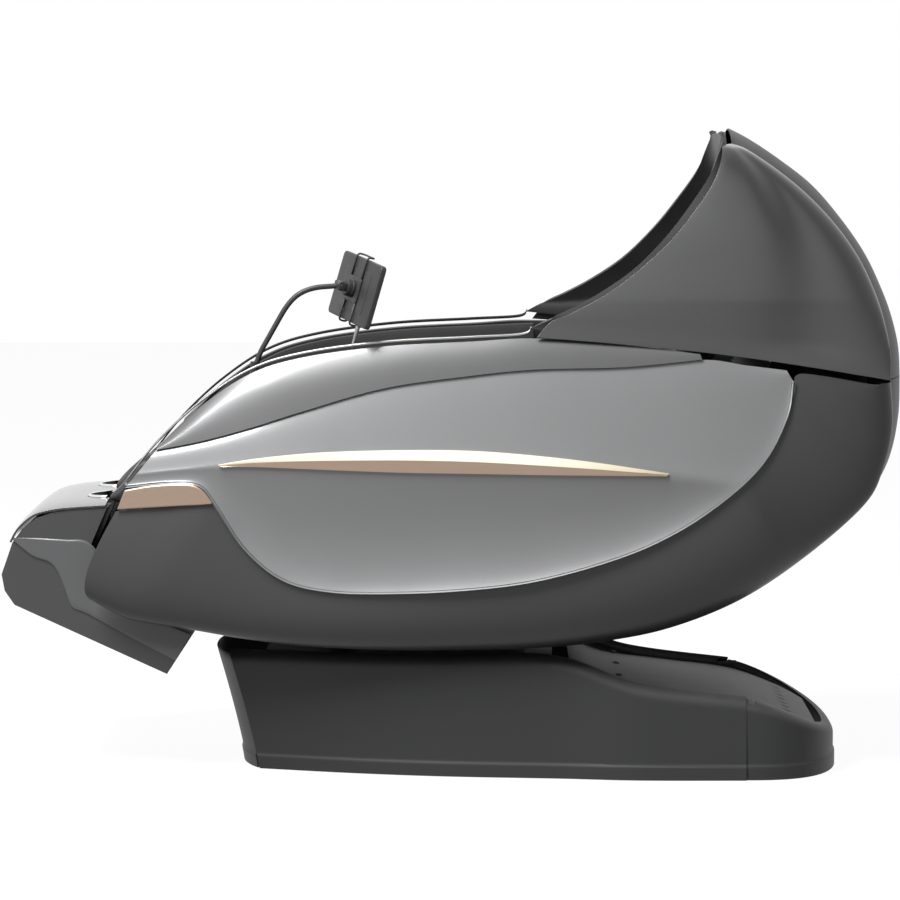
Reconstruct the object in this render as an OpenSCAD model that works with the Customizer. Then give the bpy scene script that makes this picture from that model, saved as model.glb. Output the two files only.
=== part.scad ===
// Reclining massage chair: a one-piece capsule (seat, side walls and hood) that
// tilts on a low base, a leg rest with foot wells, a massage carriage on back
// rails and a tablet on a bent arm.
// Millimetres, +Z up, the chair faces -Y, the sitter's left hand is on +X.
// Outlines are drawn in the side view as [y, z] points joined by smooth curves.

/* [Capsule] */
// Half width of the capsule at its side ridge
ridge_half_w = 394; // [380:1:430]
// How much narrower the capsule is at its front end, each side
front_taper = 54; // [20:1:80]
// How much narrower the capsule is at its rear end, each side
rear_taper = 100; // [60:1:130]
// How far the side walls lean in between ridge and top edge
top_lean = 36; // [10:1:50]
// Wall of the moulded side panels
panel_wall = 4; // [3:0.5:6]
// Gap between neighbouring panels
panel_gap = 0.8; // [0.6:0.1:2]
// How far the lower edge of the side panel flares out
seam_flare = 10; // [4:1:16]

/* [Hood] */
// Half width of the hood's front rim at its top
rim_top_half_w = 190; // [160:5:220]
// Half width of the black band over the hood's back, at its lower end
band_half_w = 225; // [200:5:240]
// Half width of the same band at the top
band_top_half_w = 150; // [130:5:155]
// Wall of the hood lining
lining_wall = 9; // [6:1:12]

/* [Seat] */
// Half width of the seat cushion
seat_half_w = 252; // [230:1:256]
// Thickness of the seat cushion
seat_thick = 85; // [60:5:95]
// Thickness of the back cushion
back_thick = 76; // [70:2:84]
// Thickness of the head pillow
pillow_thick = 60; // [40:5:80]

/* [Base] */
// Half width of the base at the rear
base_half_w = 306; // [290:1:320]
// Half width of the base at the front
base_front_half_w = 169; // [150:1:190]
// Wall of the base covers
base_wall = 4; // [3:0.5:6]
// Radius of the pins the capsule tilts on
tilt_pin_r = 10; // [8:0.5:14]
// Height of the rubber feet
foot_h = 8; // [5:1:12]
// Radius of the rubber feet
foot_r = 24; // [16:1:30]

/* [Leg rest] */
// Radius of the knee pivot pins
knee_pin_r = 9; // [7:0.5:12]
// Width of each foot well
well_w = 118; // [104:2:126]
// Distance of each foot well from the middle
well_x = 112; // [100:2:118]
// Radius of the foot rollers
foot_roller_r = 18; // [14:1:20]

/* [Massage mechanism] */
// Distance of the back rails from the middle
rail_x = 128; // [120:1:140]
// Radius of the massage rollers
roller_r = 26; // [20:1:28]
// Distance of the massage rollers from the middle
roller_x = 52; // [44:1:60]
// Radius of the kneading shaft
knead_shaft_r = 8; // [6:0.5:10]
// Module of the lifting racks and pinions
gear_m = 2; // [1.6:0.1:2.2]
// Teeth of each lifting pinion
pinion_teeth = 14; // [12:1:18]

/* [Tablet arm] */
// Radius of the arm's tube
arm_r = 5; // [4:0.5:7]
// Tablet width
tablet_w = 194; // [170:1:200]
// Tablet height
tablet_h = 122; // [110:1:135]
// Tablet thickness
tablet_t = 11; // [8:0.5:14]

/* [Clearances] */
// Radial clearance of a pin that turns in its bore
run_fit = 0.05; // [0.02:0.01:0.1]
// Gap between neighbouring moving parts
side_gap = 1; // [0.5:0.1:2]

/* [Hidden] */
$fn = 48;

// ---------- colours ----------
shell_gray = [0.52, 0.53, 0.54];
dark_gray = [0.30, 0.30, 0.31];
black = [0.09, 0.09, 0.10];
soft_black = [0.13, 0.13, 0.14];
copper = [0.72, 0.56, 0.46];
glow = [1.0, 0.97, 0.86];
steel = [0.62, 0.64, 0.66];
base_gray = [0.22, 0.22, 0.23];

// ---------- smooth curves ----------
function lerp(a, b, t) = a + (b - a) * t;
function clamped(pts, i) = pts[max(0, min(len(pts) - 1, i))];
function bend(a, b, c, d, t) =
    0.5 * (2 * b + (c - a) * t + (2 * a - 5 * b + 4 * c - d) * t * t
           + (3 * b - a - 3 * c + d) * t * t * t);
// Point at share s of a smooth curve through the given points
function along(pts, s) =
    let (k = min(floor(s * (len(pts) - 1)), len(pts) - 2), t = s * (len(pts) - 1) - k)
    bend(clamped(pts, k - 1), pts[k], pts[k + 1], clamped(pts, k + 2), t);
function curve(pts, n) = [for (i = [0:n]) along(pts, i / n)];
function unit(v) = v / norm(v);

// ---------- shells over a surface function f(u, v) ----------
function slope_normal(f, u, v, e = 0.004) =
    let (a = f(min(u + e, 1), v) - f(max(u - e, 0), v),
         b = f(u, min(v + e, 1)) - f(u, max(v - e, 0)))
    unit(cross(a, b));

// Closed shell with its face on f over a grid of nu by nv cells; out is -1
// where the grid's normal points into the chair
module shell(f, nu, nv, wall, out = 1) {
    cols = nv + 1;
    size = (nu + 1) * cols;
    outer = [for (i = [0:nu], j = [0:nv]) f(i / nu, j / nv)];
    inner = [for (i = [0:nu], j = [0:nv])
        f(i / nu, j / nv) - out * wall * slope_normal(f, i / nu, j / nv)];
    skin = [for (i = [0:nu - 1], j = [0:nv - 1])
        let (a = i * cols + j, b = a + cols, c = b + 1, d = a + 1)
        each [[a, d, c], [a, c, b],
              [a + size, b + size, c + size], [a + size, c + size, d + size]]];
    ends = [for (j = [0:nv - 1])
        let (a = j, d = j + 1, b = nu * cols + j, c = b + 1)
        each [[a + size, d + size, d], [a + size, d, a],
              [c + size, b + size, b], [c + size, b, c]]];
    sides = [for (i = [0:nu - 1])
        let (a = i * cols, b = a + cols, d = a + nv, c = b + nv)
        each [[b + size, a + size, a], [b + size, a, b],
              [d + size, c + size, c], [d + size, c, d]]];
    faces = concat(skin, ends, sides);
    polyhedron(concat(outer, inner),
               out > 0 ? faces : [for (t = faces) [t[0], t[2], t[1]]], convexity = 6);
}

// Flat outline in the side view, extruded sideways from x0 to x1
module side_slab(x0, x1) {
    translate([x0, 0, 0])
        rotate([90, 0, 90])
            linear_extrude(x1 - x0)
                children();
}

// Round bar between two points
module rod(p, q, r) {
    d = q - p;
    translate(p)
        rotate([0, acos(d.z / norm(d)), atan2(d.y, d.x)])
            cylinder(r = r, h = norm(d));
}

// Round bar along X
module cross_bar(x0, x1, y, z, r) {
    translate([x0, y, z])
        rotate([0, 90, 0])
            cylinder(r = r, h = x1 - x0);
}

module both_sides() {
    children();
    mirror([1, 0, 0])
        children();
}

// ---------- capsule outlines, side view ----------
top_edge = [[-562, 640], [-482, 714], [-390, 774], [-290, 805], [-139, 826],
            [20, 835], [145, 841], [310, 829], [452, 811]];
crease = [[-566, 632], [-482, 649], [-390, 674], [-290, 706], [-139, 749],
          [20, 772], [145, 784], [310, 788], [456, 801]];
panel_top = concat([for (p = crease) p - [0, panel_gap]], [[540, 789], [616, 779]]);
seam = [[-456, 532], [-401, 447], [-330, 388], [-240, 366], [-120, 364], [10, 371],
        [130, 386], [250, 416], [360, 456], [465, 516], [566, 602], [616, 690], [629, 757]];
panel_low = concat([[-624, 561], [-542, 570], [-486, 566]], seam);
shell_top = concat([[-643, 516], [-540, 523]],
                   [for (p = seam) p + panel_gap * [0.6, -0.8]], [[655, 772], [786, 749]]);
rear_edge = [[768, 522], [804, 590], [822, 670], [819, 753]];
shell_low = concat([[-690, 345], [-645, 318], [-600, 303], [-496, 286], [-390, 268],
                    [-270, 255], [-130, 249], [10, 249], [140, 252], [270, 264],
                    [400, 290], [535, 344], [660, 427]], rear_edge);
band_edge = [[817, 757], [818, 810], [806, 870], [788, 925], [757, 990],
             [713, 1052], [658, 1110], [603, 1155], [548, 1192], [519, 1203]];
band_ridge = [[855, 757], [851, 812], [838, 868], [818, 922], [786, 989],
              [740, 1056], [684, 1121], [622, 1170], [562, 1210], [522, 1231]];
rim = [[146, 843], [172, 872], [210, 888], [273, 922], [331, 963],
       [395, 1021], [440, 1075], [477, 1129], [494, 1172], [499, 1200]];
lip = [[122, 871], [150, 896], [190, 914], [250, 947], [312, 994],
       [370, 1051], [410, 1104], [448, 1164], [474, 1208], [494, 1229]];
lining_back = [[700, 800], [714, 850], [713, 900], [700, 950], [675, 1000],
               [640, 1048], [596, 1086], [552, 1118], [516, 1152], [499, 1220]];
cover_edge = [for (i = [3:-1:0]) rear_edge[i] + (i == 3 ? [-1, 3.4] : [0, 0])];
cover_ridge = [[855, 756.4], [852, 680], [834, 596], [790, 510]];

// ---------- capsule side surface ----------
plan_middle_y = 60;
front_span = 710;
rear_span = 790;
function ridge_z(y) = 618 - 0.000125 * pow(y + 100, 2);
function ridge_w(y) = y < plan_middle_y
    ? ridge_half_w - front_taper * pow((plan_middle_y - y) / front_span, 2.2)
    : ridge_half_w - rear_taper * pow((y - plan_middle_y) / rear_span, 2.2);
// Half width of the capsule at the side-view point p
function side_w(p) =
    let (up = (p.y - ridge_z(p.x)) / 200)
    ridge_w(p.x) - (up > 0 ? top_lean * pow(up, 1.8) : 22 * pow(-up, 1.6));
function on_side(p, out) = [side_w(p) + out, p.x, p.y];

// Rows crowd towards the lower edge, which flares out and then turns back in
function panel_row(v) = 1 - pow(1 - v, 1.8);
function panel_out(v, w) = v >= 1 ? -panel_wall
    : seam_flare * pow(w, 10) - 8 * pow(1 - w, 10);
panel_face = function (u, v)
    let (w = panel_row(v))
    on_side(lerp(along(panel_top, u), along(panel_low, u), w), panel_out(v, w));
shoulder_face = function (u, v)
    on_side(lerp(along(top_edge, u), along(crease, u), v), -14 * pow(1 - v, 3) * (1 - pow(u, 4)));
function belly_w(u) = lerp(300, band_half_w + 1, pow(u, 3));
// Direction away from the side panel at share s of its lower edge
function seam_out(s) =
    let (t = unit(along(panel_low, min(s + 0.01, 1)) - along(panel_low, max(s - 0.01, 0))))
    [t.y, -t.x];
shell_line = [for (i = [0:32]) i > 3 && i < 29
    ? along(panel_low, (i + 2) / 30) + panel_gap * seam_out((i + 2) / 30)
    : along(shell_top, i / 32)];
lower_face = function (u, v)
    let (a = along(shell_line, u), b = along(shell_low, u),
         bulge = 24 * sin(180 * v) * pow(1 - u, 8),
         p = lerp(a, b, sin(90 * v)) - [bulge, 0],
         wa = side_w(a) - 3 * (1 - pow(u, 12)))
    [lerp(belly_w(u), wa, cos(90 * v)), p.x, p.y];

// ---------- hood surfaces ----------
rim_low_half_w = 352;
function rim_w(u) = rim_top_half_w
    + (rim_low_half_w - rim_top_half_w) * pow(cos(90 * u), 0.7);
function band_w(u) = lerp(band_top_half_w, band_half_w, cos(90 * u));
// The hood starts flush with the side panels and rounds over above them
hood_face = function (u, v)
    let (k = pow(v, 1.5),
         p = lerp(along(band_edge, u), along(rim, u), k)
             + [0, 11 * sin(180 * k) * pow(1 - u, 6)],
         arc = lerp(band_w(u), rim_w(u), sqrt(1 - pow(1 - k, 2))),
         w = v == 0 ? band_w(u) : lerp(side_w(p), arc, min(1, u / 0.3)))
    [w + panel_gap / 2, p.x, p.y];
band_face = function (u, v)
    let (t = 2 * v - 1,
         p = lerp(along(band_ridge, u), along(band_edge, u), pow(abs(t), 2.2)))
    [t * (band_w(u) - panel_gap / 2), p.x, p.y];
cover_face = function (u, v)
    let (t = 1 - 2 * v,
         p = lerp(along(cover_ridge, u), along(cover_edge, u), pow(abs(t), 2.2)))
    [t * (band_half_w + 0.4), p.x, p.y];
lining_face = function (u, v)
    let (a = 180 * v, c = cos(a),
         w = rim_w(u) - panel_wall - 5 - lining_wall - 16 * u - 8 * pow(u, 4),
         p = lerp(along(lip, u), along(lining_back, u), pow(sin(a), 0.67)),
         room = side_w(p) - panel_wall - lining_wall - 3 + 300 * u * u)
    [sign(c) * min(w * pow(abs(c), 0.67), room), p.x, p.y];

module side_panel() { shell(panel_face, 30, 8, panel_wall, -1); }
module shoulder_panel() { shell(shoulder_face, 20, 3, panel_wall, -1); }
module lower_shell() { shell(lower_face, 32, 6, panel_wall, -1); }
module hood_side() {
    shell(hood_face, 16, 7, panel_wall);
}

module side_panel_left() { color(shell_gray) side_panel(); }
module side_panel_right() { color(shell_gray) mirror([1, 0, 0]) side_panel(); }
module shoulder_panel_left() { color(shell_gray) shoulder_panel(); }
module shoulder_panel_right() { color(shell_gray) mirror([1, 0, 0]) shoulder_panel(); }
module lower_shell_left() { color(dark_gray) lower_shell(); }
module lower_shell_right() { color(dark_gray) mirror([1, 0, 0]) lower_shell(); }
module hood_side_left() { color(shell_gray) hood_side(); }
module hood_side_right() { color(shell_gray) mirror([1, 0, 0]) hood_side(); }
module hood_spine() { color(black) shell(band_face, 16, 8, panel_wall); }
module back_cover() { color(black) shell(cover_face, 8, 8, panel_wall); }
module hood_lining() { color(soft_black) shell(lining_face, 12, 16, lining_wall); }

// ---------- light spear and metal trim on the side ----------
spear_top = [[-448, 607], [-368, 620], [-257, 631], [-108, 636], [22, 635],
             [144, 626], [263, 612], [392, 592]];
spear_mid = [[-446, 605], [-368, 612], [-257, 616], [-108, 617.5], [22, 615],
             [144, 608.5], [263, 600], [390, 589.5]];
spear_low = [[-444, 603], [-368, 603], [-257, 599], [-108, 594], [22, 592],
             [144, 590], [263, 588.5], [388, 587]];
trim_top = [[-625, 557], [-578, 566], [-531, 570], [-500, 569], [-478, 559], [-460, 536]];
trim_low = [[-640, 520], [-598, 523], [-555, 526], [-512, 529], [-482, 531], [-462, 533]];
edge_line = concat([[-620, 575]], [for (i = [0:5]) top_edge[i] + [-1, 4.8]],
                   [[118, 845.5], [136, 858]]);
strip_proud = 0.7;
spear_wall = 3;

// Strip between two side outlines that lies on the side panel
module side_strip(high, low, proud, wall, n, m = 1) {
    shell(function (u, v) on_side(lerp(along(high, u), along(low, u), v), proud + wall),
          n, m, wall, -1);
}
module led_strip() { side_strip(spear_top, spear_mid, strip_proud, spear_wall, 16); }
module copper_spear() {
    side_strip([for (p = spear_mid) p - [0, 0.4]], spear_low, strip_proud, spear_wall + 1, 16);
}
module metal_trim() {
    side_strip(trim_top, trim_low, 0.6, 4, 8, 2);
    // thin bright strip that edges the whole side opening
    shell(function (u, v)
              let (p = along(edge_line, u))
              [side_w(p) - 12 - 7 * v, p.x, p.y + 4.2],
          22, 1, 7);
}

// ---------- inner side walls and arm rests ----------
liner_top = [for (i = [0:6]) top_edge[i] + [6, -5]];
liner_low = [[-540, 545], [-455, 560], [-375, 575], [-290, 585], [-139, 590],
             [20, 595], [150, 610]];
arm_pad_in = seat_half_w + 10;
arm_pad_out = ridge_half_w - 76.5;
liner_wall = 5;
liner_face = function (u, v)
    let (a = along(liner_top, u), b = along(liner_low, u), p = lerp(a, b, v))
    [lerp(side_w(a) - 15.8 - liner_wall, arm_pad_out + 0.5, pow(v, 0.6)), p.x, p.y];
module armrest() {
    shell(liner_face, 14, 3, liner_wall);
    side_slab(arm_pad_in, arm_pad_out)
        polygon(concat(curve([[-362, 600], [-310, 655], [-150, 668], [60, 668], [140, 650]], 12),
                       [[150, 470], [-362, 470]]));
}

// ---------- seat, back and pillow ----------
seat_top = [[-428, 560], [-380, 572], [-250, 556], [-60, 508], [90, 478], [178, 482]];
module seat_cushion_shape() {
    side_slab(-seat_half_w, seat_half_w)
        polygon(concat(curve(seat_top, 16),
                       [[178, 482 - seat_thick], [90, 478 - seat_thick],
                        [-60, 508 - seat_thick], [-250, 556 - seat_thick],
                        [-340, 570 - seat_thick], [-420, 568 - seat_thick], [-428, 500]]));
}

// Back frame coordinates: t runs up the rails, m forwards from them
back_foot = [300, 440];
back_angle = 60;
rail_len = 600;
module in_back() {
    translate([0, back_foot.x, back_foot.y])
        rotate([back_angle - 90, 0, 0])
            children();
}
rail_half_t = 15;
roller_reach = 68;
module back_cushion_shape() {
    in_back()
        difference() {
            translate([-232, -rail_half_t - 0.3 - back_thick, 70])
                cube([464, back_thick, 500]);
            // channel that the rollers travel in
            translate([-roller_x - 24, -roller_reach, 60])
                cube([2 * (roller_x + 24), roller_reach, 520]);
        }
}
module head_pillow_shape() {
    in_back()
        translate([-150, -rail_half_t - 0.6 - back_thick - pillow_thick, 400])
            rotate([0, 90, 0])
                linear_extrude(300)
                    translate([-170, 0])
                        union() {
                            translate([0, 8])
                                square([170, pillow_thick - 8]);
                            translate([20, 0])
                                square([130, pillow_thick]);
                        }
}

// Pivots of the lifting actuators, side view
tilt_cyl_end = [-200, 84];
tilt_rod_end = [-250, 318];
tilt_slot_r = 15;
leg_pin_r = 6;
leg_cyl_end = [-112, 354];
leg_slot_r = 14;
leg_rod_end = [-420, 458];

// ---------- steel seat frame and back rails ----------
tilt_pivot = [152, 296];
tower_x = 200;
tower_wall = 14;
lug_wall = 12;
lug_x = tower_x - side_gap - lug_wall;
tube_w = 36;
frame_z = 336;
frame_front = -395;
frame_rear = 262;
knee_pivot = [-450, 560];
leg_half_w = seat_half_w + 10;
knee_lug_x = leg_half_w + 6;
pan_line = [for (p = [[-384, 569], [-340, 570], [-250, 556], [-60, 508], [90, 478], [176, 482]])
    p - [0, seat_thick + 0.4]];
module seat_frame_shape() {
    // longitudinal tubes with their cross tubes
    for (x = [-232, 232 - tube_w])
        translate([x, frame_front, frame_z])
            cube([tube_w, frame_rear - frame_front, tube_w]);
    for (y = [frame_front, -70, frame_rear - tube_w])
        translate([-232 + tube_w, y, frame_z])
            cube([464 - 2 * tube_w, tube_w, tube_w]);
    translate([-232 + tube_w, tilt_rod_end.x - 18, frame_z])
        cube([464 - 2 * tube_w, 36, 20]);
    both_sides() {
        // tilt lug with its bore
        difference() {
            union() {
                translate([lug_x, tilt_pivot.x - 22, tilt_pivot.y])
                    cube([lug_wall, 44, frame_z - tilt_pivot.y + 2]);
                cross_bar(lug_x, lug_x + lug_wall, tilt_pivot.x, tilt_pivot.y, 22);
            }
            cross_bar(lug_x - 1, lug_x + lug_wall + 1, tilt_pivot.x, tilt_pivot.y,
                      tilt_pin_r + run_fit);
        }
        // bracket up to the knee pivot, outside the seat cushion
        translate([232 - tube_w, frame_front, frame_z])
            cube([knee_lug_x + 10 - 232 + tube_w, 30, tube_w]);
        difference() {
            side_slab(knee_lug_x, knee_lug_x + 10)
                polygon([[frame_front, frame_z], [frame_front + 60, frame_z],
                         [frame_front + 60, frame_z + 60], [knee_pivot.x + 24, knee_pivot.y + 6],
                         [knee_pivot.x, knee_pivot.y + 24], [knee_pivot.x - 24, knee_pivot.y],
                         [frame_front - 10, frame_z + 80]]);
            cross_bar(knee_lug_x - 1, knee_lug_x + 11, knee_pivot.x, knee_pivot.y,
                      knee_pin_r + run_fit);
        }
        // foot of the back frame
        translate([rail_x + 20, frame_rear - 30, frame_z + tube_w - 1])
            cube([18, 60, 60]);
    }
    // seat pan on posts, under the cushion
    side_slab(-226, 226)
        polygon(concat(pan_line, [for (i = [len(pan_line) - 1:-1:0]) pan_line[i] - [0, 4]]));
    for (x = [-226, 206])
        for (p = [pan_line[1], pan_line[2], pan_line[3], pan_line[4]])
            translate([x, p.x - 10, frame_z + tube_w - 1])
                cube([20, 20, p.y - frame_z - tube_w - 2]);
    // outriggers that carry the side shells
    both_sides()
        for (u = [5 / 16, 8 / 16]) {
            at = lower_face(u, 1 / 6);
            translate([220, at.y - 6, at.z - 5])
                cube([at.x - panel_wall - 1.7 - 220, 12, 10]);
        }
    // clevis plates that take the two lifting actuators
    for (x = [-22, 14]) {
        actuator_plate(x, tilt_rod_end, frame_z + 2, tilt_slot_r);
        translate([x, leg_cyl_end.x - 18, frame_z])
            cube([8, -68 - leg_cyl_end.x + 18, tube_w]);
    }
    cross_bar(-20, 20, leg_cyl_end.x, leg_cyl_end.y, leg_pin_r);
}

// Plate of a clevis that hangs from or stands on the seat frame
module actuator_plate(x, at, z, r) {
    difference() {
        union() {
            cross_bar(x, x + 8, at.x, at.y, r + 8);
            translate([x, at.x - r - 8, min(at.y, z)])
                cube([8, 2 * r + 16, abs(z - at.y) + 20]);
        }
        cross_bar(x - 1, x + 9, at.x, at.y, r);
    }
}

module back_rails_shape() {
    in_back() {
        both_sides() {
            // open channel rail
            difference() {
                translate([rail_x - 12, -15, 0])
                    cube([24, 30, rail_len]);
                translate([rail_x - 13, -10, -1])
                    cube([20, 20, rail_len + 2]);
            }
            // toothed rack of the lifting drive on the rail's rear face
            translate([rail_x - rack_w / 2, 0, 0])
                rotate([90, 0, 90])
                    linear_extrude(rack_w)
                        rack_outline();
        }
        for (t = [0, rail_len - 20])
            translate([-rail_x + 12, -11, t])
                cube([2 * rail_x - 24, 22, 20]);
    }
    both_sides()
        translate([rail_x + 1, frame_rear + 2, frame_z + 20])
            cube([18.7, 26, 90]);
}

// ---------- lifting racks and pinions of the massage carriage ----------
carriage_t = 60;
pressure_angle = 25;
rack_w = 12;
rack_back = 3;
rack_play = 0.12;
rack_from = 40;
rack_to = 486;
pinion_t = carriage_t + 8;
pinion_shaft_r = 5;
tooth_pitch = PI * gear_m;
pitch_r = gear_m * pinion_teeth / 2;
rack_line = rail_half_t + rack_back + 1.25 * gear_m;
pinion_y = rack_line + pitch_r;
// Involute angle in degrees of the pressure angle a
function involute(a) = tan(a) * 180 / PI - a;
// Half width in degrees of a pinion tooth at radius r
function tooth_half(r) =
    let (base = pitch_r * cos(pressure_angle))
    90 / pinion_teeth + involute(pressure_angle) - 0.5
        - involute(r > base ? acos(base / r) : 0);
tooth_radii = [for (k = [-1.25, -0.8, -0.5, 0, 0.5, 1]) pitch_r + k * gear_m];
module pinion_outline() {
    polygon([for (i = [0:pinion_teeth - 1], k = [-6:6])
        if (k != 0)
            let (r = tooth_radii[6 - abs(k)],
                 a = 360 * i / pinion_teeth + sign(k) * tooth_half(r))
            r * [-cos(a), sin(a)]]);
}
// Rack in the side view: teeth stand on a strip, one space faces the pinion
module rack_outline() {
    first = ceil((rack_from + 4 - pinion_t) / tooth_pitch);
    last = floor((rack_to - 4 - pinion_t) / tooth_pitch) - 1;
    tip = tooth_pitch / 4 - rack_play - gear_m * tan(pressure_angle);
    root = tooth_pitch / 4 - rack_play + 1.25 * gear_m * tan(pressure_angle);
    foot = rack_line - 1.25 * gear_m;
    polygon(concat([[rail_half_t, rack_from], [foot, rack_from]],
                   [for (i = [first:last])
                       let (t = pinion_t + (i + 0.5) * tooth_pitch)
                       each [[foot, t - root], [rack_line + gear_m, t - tip],
                             [rack_line + gear_m, t + tip], [foot, t + root]]],
                   [[foot, rack_to], [rail_half_t, rack_to]]));
}

// ---------- massage carriage ----------
module carriage_shape() {
    in_back() {
        // cheeks and motor
        difference() {
            for (x = [-rail_x + 26, rail_x - 34])
                translate([x, -14.6, carriage_t])
                    cube([8, 62, 110]);
            cross_bar(-rail_x, rail_x, pinion_y, pinion_t, pinion_shaft_r + run_fit);
        }
        translate([-rail_x + 34, 18, carriage_t + 10])
            cube([2 * rail_x - 68, 8, 90]);
        translate([-44, 26, carriage_t + 20])
            cube([88, 34, 60]);
        // sliding shoes in the rails
        for (x = [-rail_x - 5, rail_x - 34])
            for (t = [4, 86])
                translate([x, -9, carriage_t + t])
                    cube([39, 18, 20]);
        cross_bar(-rail_x + 34, rail_x - 34, 0, carriage_t + 55, knead_shaft_r);
    }
}
module climb_pinions_shape() {
    in_back() {
        cross_bar(-rail_x - rack_w, rail_x + rack_w, pinion_y, pinion_t, pinion_shaft_r);
        for (x = [-rail_x, rail_x])
            translate([x - rack_w / 2, pinion_y, pinion_t])
                rotate([90, 0, 90])
                    linear_extrude(rack_w)
                        pinion_outline();
    }
}
module knead_arm_shape() {
    in_back() {
        difference() {
            union() {
                cross_bar(roller_x - 24, roller_x - 6, 0, carriage_t + 55, 18);
                side_slab(roller_x - 22, roller_x - 8)
                    polygon([[-4, carriage_t + 40], [10, carriage_t + 55], [-4, carriage_t + 70],
                             [-24, carriage_t + 118], [-38, carriage_t + 112],
                             [-26, carriage_t + 55], [-38, carriage_t - 2], [-24, carriage_t - 8]]);
            }
            cross_bar(roller_x - 30, roller_x, 0, carriage_t + 55, knead_shaft_r + run_fit);
        }
        for (t = [-2, 112])
            cross_bar(roller_x - 10, roller_x + 14, -31, carriage_t + t, 5);
    }
}
module roller_pair(t) {
    in_back()
        both_sides()
            difference() {
                cross_bar(roller_x - 7, roller_x + 13, -31, carriage_t + t, roller_r);
                cross_bar(roller_x - 8, roller_x + 14, -31, carriage_t + t, 5 + run_fit);
            }
}

// ---------- leg rest frame: s runs down the leg, n forwards ----------
leg_angle = 24.6;
module in_leg() {
    translate([0, knee_pivot.x, knee_pivot.y])
        rotate([-leg_angle, 0, 0])
            mirror([0, 0, 1])
                mirror([0, 1, 0])
                    children();
}
pad_outline = [[154, 20], [197, 112], [170, 117], [170, 234], [-30.6, 234], [-30.6, 60], [29, 20]];
module calf_pad_shape() {
    in_leg()
        difference() {
            side_slab(-leg_half_w + 21.4, leg_half_w - 21.4)
                polygon(pad_outline);
            for (x = [-well_x, well_x]) {
                translate([x - well_w / 2, 20, 0])
                    cube([well_w, 240, 300]);
                translate([x, 40, 0])
                    cylinder(r = well_w / 2, h = 300);
            }
        }
}
module calf_shell_shape() {
    in_leg()
        difference() {
            side_slab(-leg_half_w + 10, leg_half_w - 10)
                polygon([[120, 24], [120, 236], [-46, 236], [-46, 66], [20, 12]]);
            side_slab(-leg_half_w + 21, leg_half_w - 21)
                polygon([[150, 0], [150, 260], [-31, 260], [-31, 59], [29, 0]]);
        }
}
fork_s = (knee_pivot.x - leg_rod_end.x) * sin(leg_angle) + (knee_pivot.y - leg_rod_end.y) * cos(leg_angle);
fork_n = (knee_pivot.x - leg_rod_end.x) * cos(leg_angle) - (knee_pivot.y - leg_rod_end.y) * sin(leg_angle);
module leg_frame_shape() {
    both_sides() {
        // knee arm with its pin
        in_leg()
            side_slab(leg_half_w - 8, leg_half_w)
                polygon([[-16, -16], [16, -16], [30, 40], [10, 60], [-56, 90], [-56, 40]]);
        cross_bar(leg_half_w - 2, knee_lug_x + 12, knee_pivot.x, knee_pivot.y, knee_pin_r);
    }
    in_leg() {
        difference() {
            translate([-leg_half_w, -56, 66])
                cube([2 * leg_half_w, 9.6, 24]);
            // room for the rod's eye at full lift
            translate([-13.5, -57, 60])
                cube([27, 8.2, 36]);
        }
        // fork that takes the lifting rod
        for (x = [-22.5, 14.5])
            difference() {
                translate([x, -104, 61])
                    cube([8, 50, 43]);
                cross_bar(x - 1, x + 9, fork_n, fork_s, leg_slot_r);
            }
        // telescopic guide tubes
        for (x = [-150, 150])
            difference() {
                translate([x - 12, -72, 60])
                    cube([24, 24, 176]);
                translate([x - 9, -69, 50])
                    cube([18, 18, 200]);
            }
    }
}

module foot_well(x, s0, h, inset = 0) {
    r = well_w / 2 - inset;
    translate([x, 0, s0])
        linear_extrude(h)
            union() {
                translate([-r, 14])
                    square([2 * r, 155]);
                translate([0, 14])
                    circle(r = r);
                translate([0, 169])
                    circle(r = r);
            }
}
foot_roller_s = 345;
foot_roller_n = 80;
roller_pin_r = 5;
cap_line = [[186, 122], [235, 148], [272, 170], [303, 196], [320, 232], [323, 262]];
module foot_shell_shape() {
    // slide bars that run in the guide tubes of the leg frame
    in_leg()
        for (x = [-150, 150])
            translate([x - 8.7, -68.7, 100])
                cube([17.4, 17.4, 146]);
    in_leg()
        difference() {
            side_slab(-leg_half_w, leg_half_w)
                polygon([[178, 130], [230, 156.5], [264, 179], [292, 204], [308, 236],
                         [314, 266], [308, 330], [290, 356], [262, 373], [-56, 373],
                         [-70, 278], [-62, 240], [176, 240]]);
            for (x = [-well_x, well_x])
                foot_well(x, 100, 269);
            for (x = [-well_x, well_x])
                cross_bar(x - well_w / 2 - 8, x + well_w / 2 + 8,
                          foot_roller_n, foot_roller_s, roller_pin_r + run_fit);
        }
}
module foot_cap_shape() {
    in_leg()
        difference() {
            shell(function (u, v)
                      let (t = 2 * v - 1, p = along(cap_line, u),
                           drop = 6 * pow(abs(t), 4))
                      [t * (leg_half_w + 3), p.x - 0.6 * drop, p.y + 0.8 * drop],
                  10, 10, 4);
            for (x = [-well_x, well_x])
                foot_well(x, 60, 200);
        }
}
module foot_rings_shape() {
    in_leg()
        intersection() {
            side_slab(-leg_half_w, leg_half_w)
                polygon(concat([for (p = curve(cap_line, 10)) p + [0, -6]],
                               [for (i = [10:-1:0]) along(cap_line, i / 10) + [0, 12]]));
            for (x = [-well_x, well_x])
                difference() {
                    foot_well(x, 60, 160, 0.3);
                    foot_well(x, 50, 180, 5);
                }
        }
}
module foot_pad_shape() {
    in_leg()
        for (x = [-well_x, well_x])
            difference() {
                translate([x - well_w / 2 + 0.5, 14, 338])
                    cube([well_w - 1, 155, 30.7]);
                translate([x - well_w / 2, foot_roller_n - foot_roller_r - 4, 330])
                    cube([well_w, 2 * foot_roller_r + 8, 50]);
            }
}
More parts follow.
